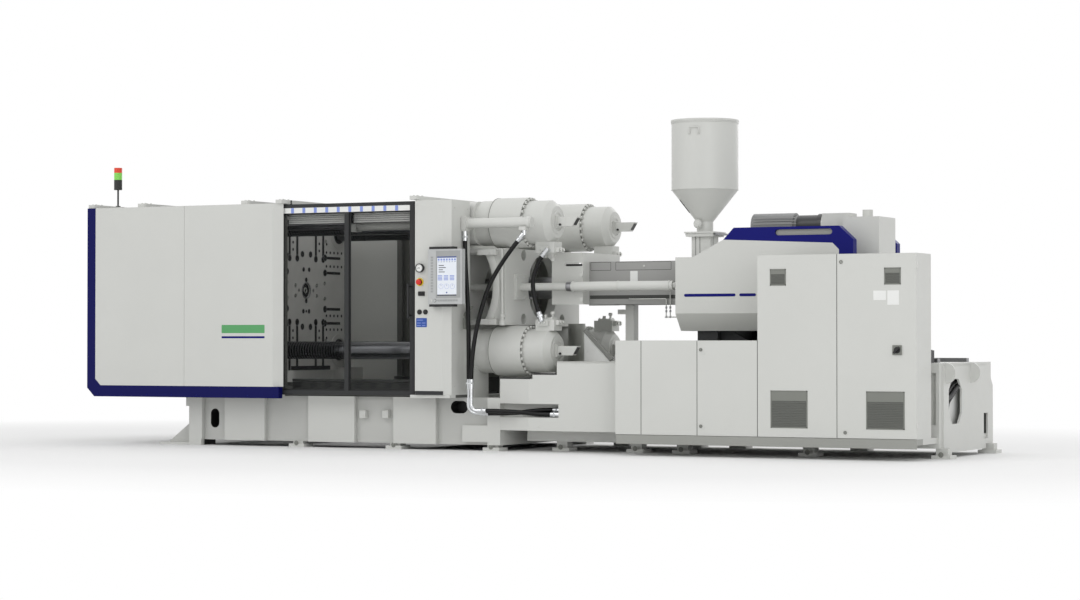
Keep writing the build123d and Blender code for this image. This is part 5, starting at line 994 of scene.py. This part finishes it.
class BarrelSide(bpy.types.Operator):
    """Panel lines, a painted shadow, pipes, glands and hinges between the platen and the shroud"""

    bl_idname = "machine.barrel_side"
    bl_label = "Barrel side"

    def execute(self, context):
        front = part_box("barrel_guard")[0].y
        # Painted shadow: the first, wide line is a dark band under the guard's lower edge; the others are panel
        # joints.
        lines = [(slab(1.14, 0.038, 0.0003), FRONT, (1.335, front, 1.586))]
        foot, head = 1.865, 1.949
        for start, end in ((0.775, 1.005), (1.062, 1.69)):
            lines += [(slab(end - start, 0.0045, 0.0003), FRONT, *spread((start + end) / 2, front, (foot, head))),
                      (slab(0.0045, head - foot, 0.0003), FRONT, *spread((start, end), front, (foot + head) / 2))]
        make("barrel_guard_lines_and_shadow", "shade", "carriage", *lines)
        make("barrel_guard_screw", "zinc", "carriage", (screw_head(0.01, 0.006), FRONT, (1.385, front, 1.905)))
        make("barrel_guard_plate", "plate", "carriage",
             (slab(0.085, 0.11, 0.0015, 0.004, 0.0006), FRONT, (1.27, front, 1.8)))
        y = front - 0.022
        path = bend(((1.222, front, 1.564), (1.222, y, 1.564), (1.645, y, 1.564), (1.645, y, 1.372)), 0.015)
        make("lubrication_pipes", "zinc", "carriage", pipe(path, 0.006),
             pipe(((1.69, y, 1.64), (1.69, y, 1.372)), 0.006),
             pipe(((1.63, y, 1.376), (1.93, y, 1.376)), 0.007))
        make("lubrication_nuts", "steel", "carriage",
             (hexagon(0.012, 0.024), TOP, *spread((1.645, 1.69), y, (1.366, 1.425, 1.462))),
             (hexagon(0.012, 0.01), FRONT, (1.222, front, 1.564)))
        gland = lathe(((0.0445, 0), (0.049, 0.002), (0.049, 0.016), (0.046, 0.018), (0.046, 0.024), (0.0505, 0.026),
                       (0.0505, 0.058), (0.0445, 0.06), (0.0445, 0)), 32)
        rods = (-0.55, 0.55)
        make("carriage_cylinder_glands", "steel", "carriage", (gland, RIGHT, *spread(0.622, rods, AXIS)))
        make("carriage_cylinder_ends", "dark_steel", "carriage",
             (ring(0.034, 0.0525, 0.03), RIGHT, *spread(1.868, rods, AXIS)))
        make("carriage_cylinder_collars", "shell", "carriage",
             (ring(0.05, 0.0548, 0.014), RIGHT, *spread((0.69, 1.78), rods, AXIS)),
             (ring(0.05, 0.0542, 0.014), RIGHT, *spread(1.2, rods, AXIS)))
        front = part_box("purge_guard")[0].y
        # Painted shade: the slot in the purge cover is black.
        make("purge_guard_slot", "hole", "purge_cover",
             (slab(0.19, 0.021, 0.0015, 0.009), FRONT, (0.655, front, 1.92)))
        pin = lathe(((0.005, -0.03), (0.006, -0.028), (0.006, 0.028), (0.005, 0.03)), 12)
        make("purge_guard_hinges", "zinc", "purge_cover",
             (slab(0.03, 0.048, 0.004, 0.003, 0.001), FRONT, *spread(0.735, front, (1.56, 1.82))),
             (pin, TOP, *spread(0.752, front - 0.004, (1.56, 1.82))))
        return {"FINISHED"}


class Hopper(bpy.types.Operator):
    """Weld seams, catch, sight strip, valve and throat lines of the hopper"""

    bl_idname = "machine.hopper"
    bl_label = "Hopper"

    def execute(self, context):
        radius, rim, shoulder = 0.345, 3.376, 2.69
        bead = lathe(((0.343, -0.004), (0.349, -0.003), (0.35, 0), (0.349, 0.003), (0.343, 0.004),
                      (0.343, -0.004)), 72)
        make("hopper_seams", "shell", "carriage", (bead, TOP, *spread(HOPPER_X, 0, (rim, shoulder))),
             (ring(radius, 0.352, 0.01), TOP, (HOPPER_X, 0, 3.38)), angle=50)

        def round_wall(degrees):
            """Away from the hopper's axis, and along its wall."""
            turn = math.radians(degrees)
            return np.array(((math.cos(turn), math.sin(turn), 0), (-math.sin(turn), math.cos(turn), 0)))

        out, along = round_wall(-85.5)
        centre = (HOPPER_X, 0, 3.32) + radius * out
        steps = ((-0.05, 0, -0.075), (-0.05, 0.016, -0.06), (-0.05, 0.016, 0), (0.05, 0.016, 0),
                 (0.05, 0.016, -0.06), (0.05, 0, -0.075))
        path = bend([centre + a * along + b * out + (0, 0, z) for a, b, z in steps], 0.01)
        make("hopper_catch", "shell", "carriage", pipe(path, 0.0055, 10, (0.2, 0.3, -0.4)))
        out, along = round_wall(214)
        foot, head = (HOPPER_X, 0, 2.36) + 0.085 * out, (HOPPER_X, 0, shoulder) + radius * out
        rise = (head - foot) / np.linalg.norm(head - foot)
        wall = facing(along, rise)
        make("hopper_sight", "hole", "carriage",
             (slab(0.03, 0.17, 0.004, 0.012, 0.001), wall, foot + 0.205 * rise - 0.001 * wall[:, 2]))
        knob = lathe(((0.014, 0), (0.014, 0.02), (0.034, 0.024), (0.046, 0.04), (0.046, 0.062), (0.034, 0.078),
                      (0, 0.084)), 28)
        make("hopper_valve", "shell", "carriage",
             (knob, facing((0.98, -0.2, 0), (0, 0, 1)), (HOPPER_X - 0.016, -0.078, 2.338)))
        make("throat_lines", "gasket", "carriage",
             (slab(0.009, 0.24, 0.001), FRONT, *spread((1.88, 1.928), -0.105, 2.085)),
             (slab(0.009, 0.24, 0.001), RIGHT, (2.045, -0.03, 2.085)),
             (slab(0.16, 0.006, 0.001), FRONT, (1.935, -0.115, 2.23)))
        return {"FINISHED"}


class BellSide(bpy.types.Operator):
    """Window rim, lugs and drain pipe of the bell, valves, pipe box and purge chute"""

    bl_idname = "machine.bell_side"
    bl_label = "Bell and valves"

    def execute(self, context):
        face, lug_levels = -0.876, (1.33, 2.05)
        turn = np.linspace(-0.54, 0.54, 40)[:, None]
        across, level = np.array(((0, -0.002), (0.004, 0.014), (0.016, 0.022), (0.06, 0.024), (0.084, 0.016),
                                  (0.094, -0.002))).T
        radius = 0.668 + across
        rim = np.stack(np.broadcast_arrays(radius * np.cos(turn), radius * np.sin(turn), level), -1)
        make("bell_window_rim", "casting", "machine", (shell(rim), FRONT, (-0.743, face, AXIS)))
        make("bell_lugs", "shell", "machine",
             (slab(0.215, 0.058, 0.075, 0.006, 0.005), FRONT, *spread(-0.116, face, lug_levels)),
             (screw_head(0.01, 0.008), FRONT, *spread(-0.075, face - 0.075, lug_levels)),
             (slab(0.24, 0.27, 0.024, 0.01, 0.004), RIGHT, (0.067, -0.55, AXIS)),
             (screw_head(0.012, 0.01), RIGHT, *spread(0.091, (-0.645, -0.455), (AXIS - 0.11, AXIS + 0.11))))
        trap = lathe(((0.03, 0), (0.03, 0.06), (0.02, 0.064), (0.02, 0.08), (0.027, 0.084), (0.027, 0.118),
                      (0.014, 0.124)), 20)
        make("bell_drain_pipe", "shell", "machine",
             pipe(((0.046, -0.902, 1.4), (0.046, -0.902, 2.086)), 0.014), (trap, TOP, (0.046, -0.902, 1.292)))
        blocks, plugs = [], []
        stud = lathe(((0.012, 0), (0.012, 0.03), (0.022, 0.034), (0.022, 0.06), (0.012, 0.064), (0, 0.064)), 20)
        for y, z in BARS:
            toward, up = (1, TOP) if z < AXIS else (-1, DOWN)
            side, direction = (-1, FRONT) if y < 0 else (1, BACK)
            level, top = z + toward * 0.29, z + toward * 0.342
            blocks += [(slab(0.12, 0.07, 0.034, 0.004, 0.004), direction, (0.47, y + side * 0.09, level)),
                       (slab(0.13, 0.052, 0.04, 0.004, 0.004), RIGHT, (0.591, y, level)),
                       (slab(0.15, 0.11, 0.022, 0.006, 0.004), up, (0.48, y, z + toward * 0.32)),
                       (stud, up, (0.53, y, top))]
            plugs += [(hexagon(0.017, 0.016), RIGHT, *spread(0.631, (y - 0.034, y + 0.034), level)),
                      (hexagon(0.015, 0.014), direction, *spread((0.44, 0.5), y + side * 0.124, level)),
                      (screw_head(0.008, 0.008), up, *spread((0.42, 0.54), (y - 0.04, y + 0.04), top)),
                      (hexagon(0.02, 0.03), up, (0.455, y, top))]
        make("valve_blocks", "shell", "machine", *blocks)
        make("valve_plugs", "zinc", "machine", *plugs)
        make("pipe_box_cover", "shell", "machine",
             (slab(0.276, 0.365, 0.046, 0, 0.004), TOP, (0.688, -1.0175, 0.742)))
        make("pipe_box_seals", "plastic", "machine",
             (slab(0.371, 0.014, 0.03), facing((0.982, -0.189, 0), (0, 0, 1)), (0.33, -1.134, 0.749)),
             (slab(0.262, 0.016, 0.03), FRONT, (0.69, -1.168, 0.796)))
        turn = np.radians(np.linspace(205, 272, 16))
        arc = np.column_stack((np.cos(turn), np.sin(turn)))
        wall = (0.724, -0.05) + np.concatenate((0.3 * arc, 0.297 * arc[::-1]))
        make("purge_chute", "zinc", "machine", (prism(wall, 0.569), TOP, (0, 0, 0.742)))
        make("purge_chute_side", "plate", "machine",
             (prism(((0.724, 0.92), (1.045, 0.92), (0.724, 1.244)), 0.003), FRONT, (0, -0.35, 0)))
        slant = facing((0.7037, 0, -0.7105), (0.7105, 0, 0.7037))
        make("purge_chute_hem", "gasket", "machine",
             (slab(0.44, 0.046, 0.03, 0.004, 0.006), slant, (0.888, -0.34, 1.089)))
        make("bed_lugs", "shell", "machine",
             (slab(0.074, 0.085, 0.06, 0.004, 0.004), FRONT, (-1.499, -1.07, 0.359), (-1.223, -1.07, 0.362)))
        collar = lathe(((0.05, 0), (0.058, 0.002), (0.058, 0.04), (0.05, 0.042), (0.05, 0)), 32)
        ends = (-1.64, 0.44)
        make("shift_cylinder_collars", "shell", "machine",
             (collar, RIGHT, *spread(ends, -1.1, 2.345), *spread(ends, 1.1, 1.045)))
        return {"FINISHED"}


class UpperDrive(bpy.types.Operator):
    """Motor fins, the band's slot and the stripe of the shroud"""

    bl_idname = "machine.upper_drive"
    bl_label = "Upper drive"

    def execute(self, context):
        low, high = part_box("drive_motor")
        length = 0.44 * (high.x - low.x)
        levels = low.z + 0.03 + np.arange(9) * (high.z - low.z - 0.05) / 9
        make("drive_motor_fins", "guard", "carriage",
             (slab(length, 0.006, 0.01, 0.002), FRONT, *spread(low.x + 0.03 + length / 2, low.y + 0.002, levels)))
        # Painted shade: the band slot's floor is a darker grey.
        make("band_slot_floor", "plinth", "carriage",
             (slab(0.603, 0.058, 0.004, 0.0289, 0.001), FRONT, (3.2915, -0.67, 2.206)))
        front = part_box("injection_shroud")[0].y
        make("shroud_stripe", "blue", "carriage",
             (slab(0.56, 0.03, 0.0012, 0.0149, 0.0005), FRONT, (2.29, front, 1.59)),
             (slab(0.18, 0.03, 0.0012, 0.0149, 0.0005), FRONT, (2.7, front, 1.59)))
        return {"FINISHED"}


class Underside(bpy.types.Operator):
    """Bolts of the levelling pads and links of the cable chain"""

    bl_idname = "machine.underside"
    bl_label = "Pads and chain"

    def execute(self, context):
        bolts = []
        for side, direction in ((-1, FRONT), (1, BACK)):
            pads = spread((-2.317, -1.122, 0.032), side * 1.125, 0.042)
            pads += spread((0.687, 1.526, 2.033, 3.382, 4.74), side * 0.835, 0.042)
            bolts += [(ring(0.014, 0.026, 0.003), direction, *pads), (hexagon(0.015, 0.006), direction, *pads)]
        make("pad_bolts", "grille", "machine", *bolts)
        low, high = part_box("cable_chain")
        count = 20
        pitch = (high.x - low.x) / count
        x = low.x + pitch * (np.arange(count) + 0.5)
        level = (low.z + high.z) / 2
        links = [(slab(pitch * 0.55, high.y - low.y - 0.01, 0.005, 0.004, 0.001), TOP,
                  *spread(x, (low.y + high.y) / 2, high.z))]
        for direction, y in ((FRONT, low.y), (BACK, high.y)):
            links += [(slab(pitch * 0.92, high.z - low.z - 0.008, 0.005, 0.012, 0.002), direction,
                       *spread(x, y, level)),
                      (disc(0.014, 0.008, 0.004, 16), direction, *spread(x - pitch * 0.25, y, level))]
        make("cable_chain_links", "plastic", "machine", *links)
        return {"FINISHED"}


class Studio(bpy.types.Operator):
    """Pale floor, soft lamps and the camera"""

    bl_idname = "machine.studio"
    bl_label = "Studio"

    def execute(self, context):
        scene = context.scene
        sizes = scene.machine_sizes
        mesh = bpy.data.meshes.new("studio_floor")
        mesh.from_pydata([(-300, -300, 0), (300, -300, 0), (300, 300, 0), (-300, 300, 0)], [], [(0, 1, 2, 3)])
        floor = bpy.data.objects.new("studio_floor", mesh)
        scene.collection.objects.link(floor)
        coat = Coat("studio_floor", {"Roughness": 0.9})
        coat.colour(coat.cloud((1, 1, 1), 0.3, 2, 0.9, 0.93))
        x, y = coat.along("X") * 0.7, coat.along("Y")
        away = ((x * x + y * y) * 0.02 - 0.6).clamped()
        white = coat.node("ShaderNodeEmission", {}, {"Color": (1, 1, 1), "Strength": 1.0})
        plain = Wire(coat, coat.shader.outputs[0])
        mixed = coat.node("ShaderNodeMixShader", {}, {0: away * coat.seen(), 1: plain, 2: white})
        coat.feed(coat.tree.nodes["Material Output"].inputs["Surface"], mixed)
        mesh.materials.append(coat.material)
        world = bpy.data.worlds.new("studio_air")
        scene.world = world
        world.use_nodes = True
        air = Graph(world.node_tree)
        back = world.node_tree.nodes["Background"]
        air.feed(back.inputs["Color"], (1, 1, 1))
        air.feed(back.inputs["Strength"], air.seen() * 0.28 + 0.72)
        lamps = (("key", (-7, -17, 13), 11, 670), ("fill", (15, -12, 8), 9, 255), ("low", (14, -17, 1.8), 7, 350),
                 ("top", (1, 3, 15), 12, 330), ("back", (2, 18, 9), 10, 360))
        for name, place, size, power in lamps:
            light = bpy.data.lights.new(name + "_lamp", "AREA")
            light.shape = "SQUARE"
            light.size = size
            light.energy = power
            lamp = bpy.data.objects.new(name + "_lamp", light)
            lamp.location = place
            lamp.rotation_euler = (Vector((0, 0, 1.3)) - Vector(place)).to_track_quat("-Z", "Y").to_euler()
            scene.collection.objects.link(lamp)
        eye = bpy.data.cameras.new("studio_camera")
        eye.lens = sizes.view_lens
        eye.sensor_width = 36
        eye.clip_end = 500
        camera = bpy.data.objects.new("studio_camera", eye)
        camera.location = (12.506, -24.7, 1.13)
        turn, pitch = sizes.view_turn, sizes.view_pitch
        ahead = Vector((-math.sin(turn) * math.cos(pitch), math.cos(turn) * math.cos(pitch), math.sin(pitch)))
        camera.rotation_euler = ahead.to_track_quat("-Z", "Y").to_euler()
        scene.collection.objects.link(camera)
        scene.camera = camera
        scene.view_settings.view_transform = "Standard"
        return {"FINISHED"}


STEPS = (Solids, TieBars, PlatenFaces, ClampCylinders, Hoses, Screen, ColumnControls, Guarding, Cabinets,
         BarrelSide, BellSide, Hopper, UpperDrive, Underside, Studio)


class MachinePanel(bpy.types.Panel):
    """Lists the machine's pieces in the sidebar"""

    bl_idname = "VIEW3D_PT_machine"
    bl_label = "Injection moulding machine"
    bl_space_type = "VIEW_3D"
    bl_region_type = "UI"
    bl_category = "Machine"

    def draw(self, context):
        for group in (context.scene.machine_sizes, context.scene.machine_colours):
            for key in group.bl_rna.properties.keys():
                if key not in ("rna_type", "name"):
                    self.layout.prop(group, key)
        for step in STEPS:
            self.layout.operator(step.bl_idname)


CLASSES = (MachineSizes, MachineColours, *STEPS, MachinePanel)


def register():
    for item in CLASSES:
        bpy.utils.register_class(item)
    bpy.types.Scene.machine_sizes = PointerProperty(type=MachineSizes)
    bpy.types.Scene.machine_colours = PointerProperty(type=MachineColours)


def unregister():
    del bpy.types.Scene.machine_colours
    del bpy.types.Scene.machine_sizes
    for item in reversed(CLASSES):
        bpy.utils.unregister_class(item)


def main():
    register()
    for step in STEPS:
        group, name = step.bl_idname.split(".")
        getattr(getattr(bpy.ops, group), name)()


if __name__ == "__main__":
    main()
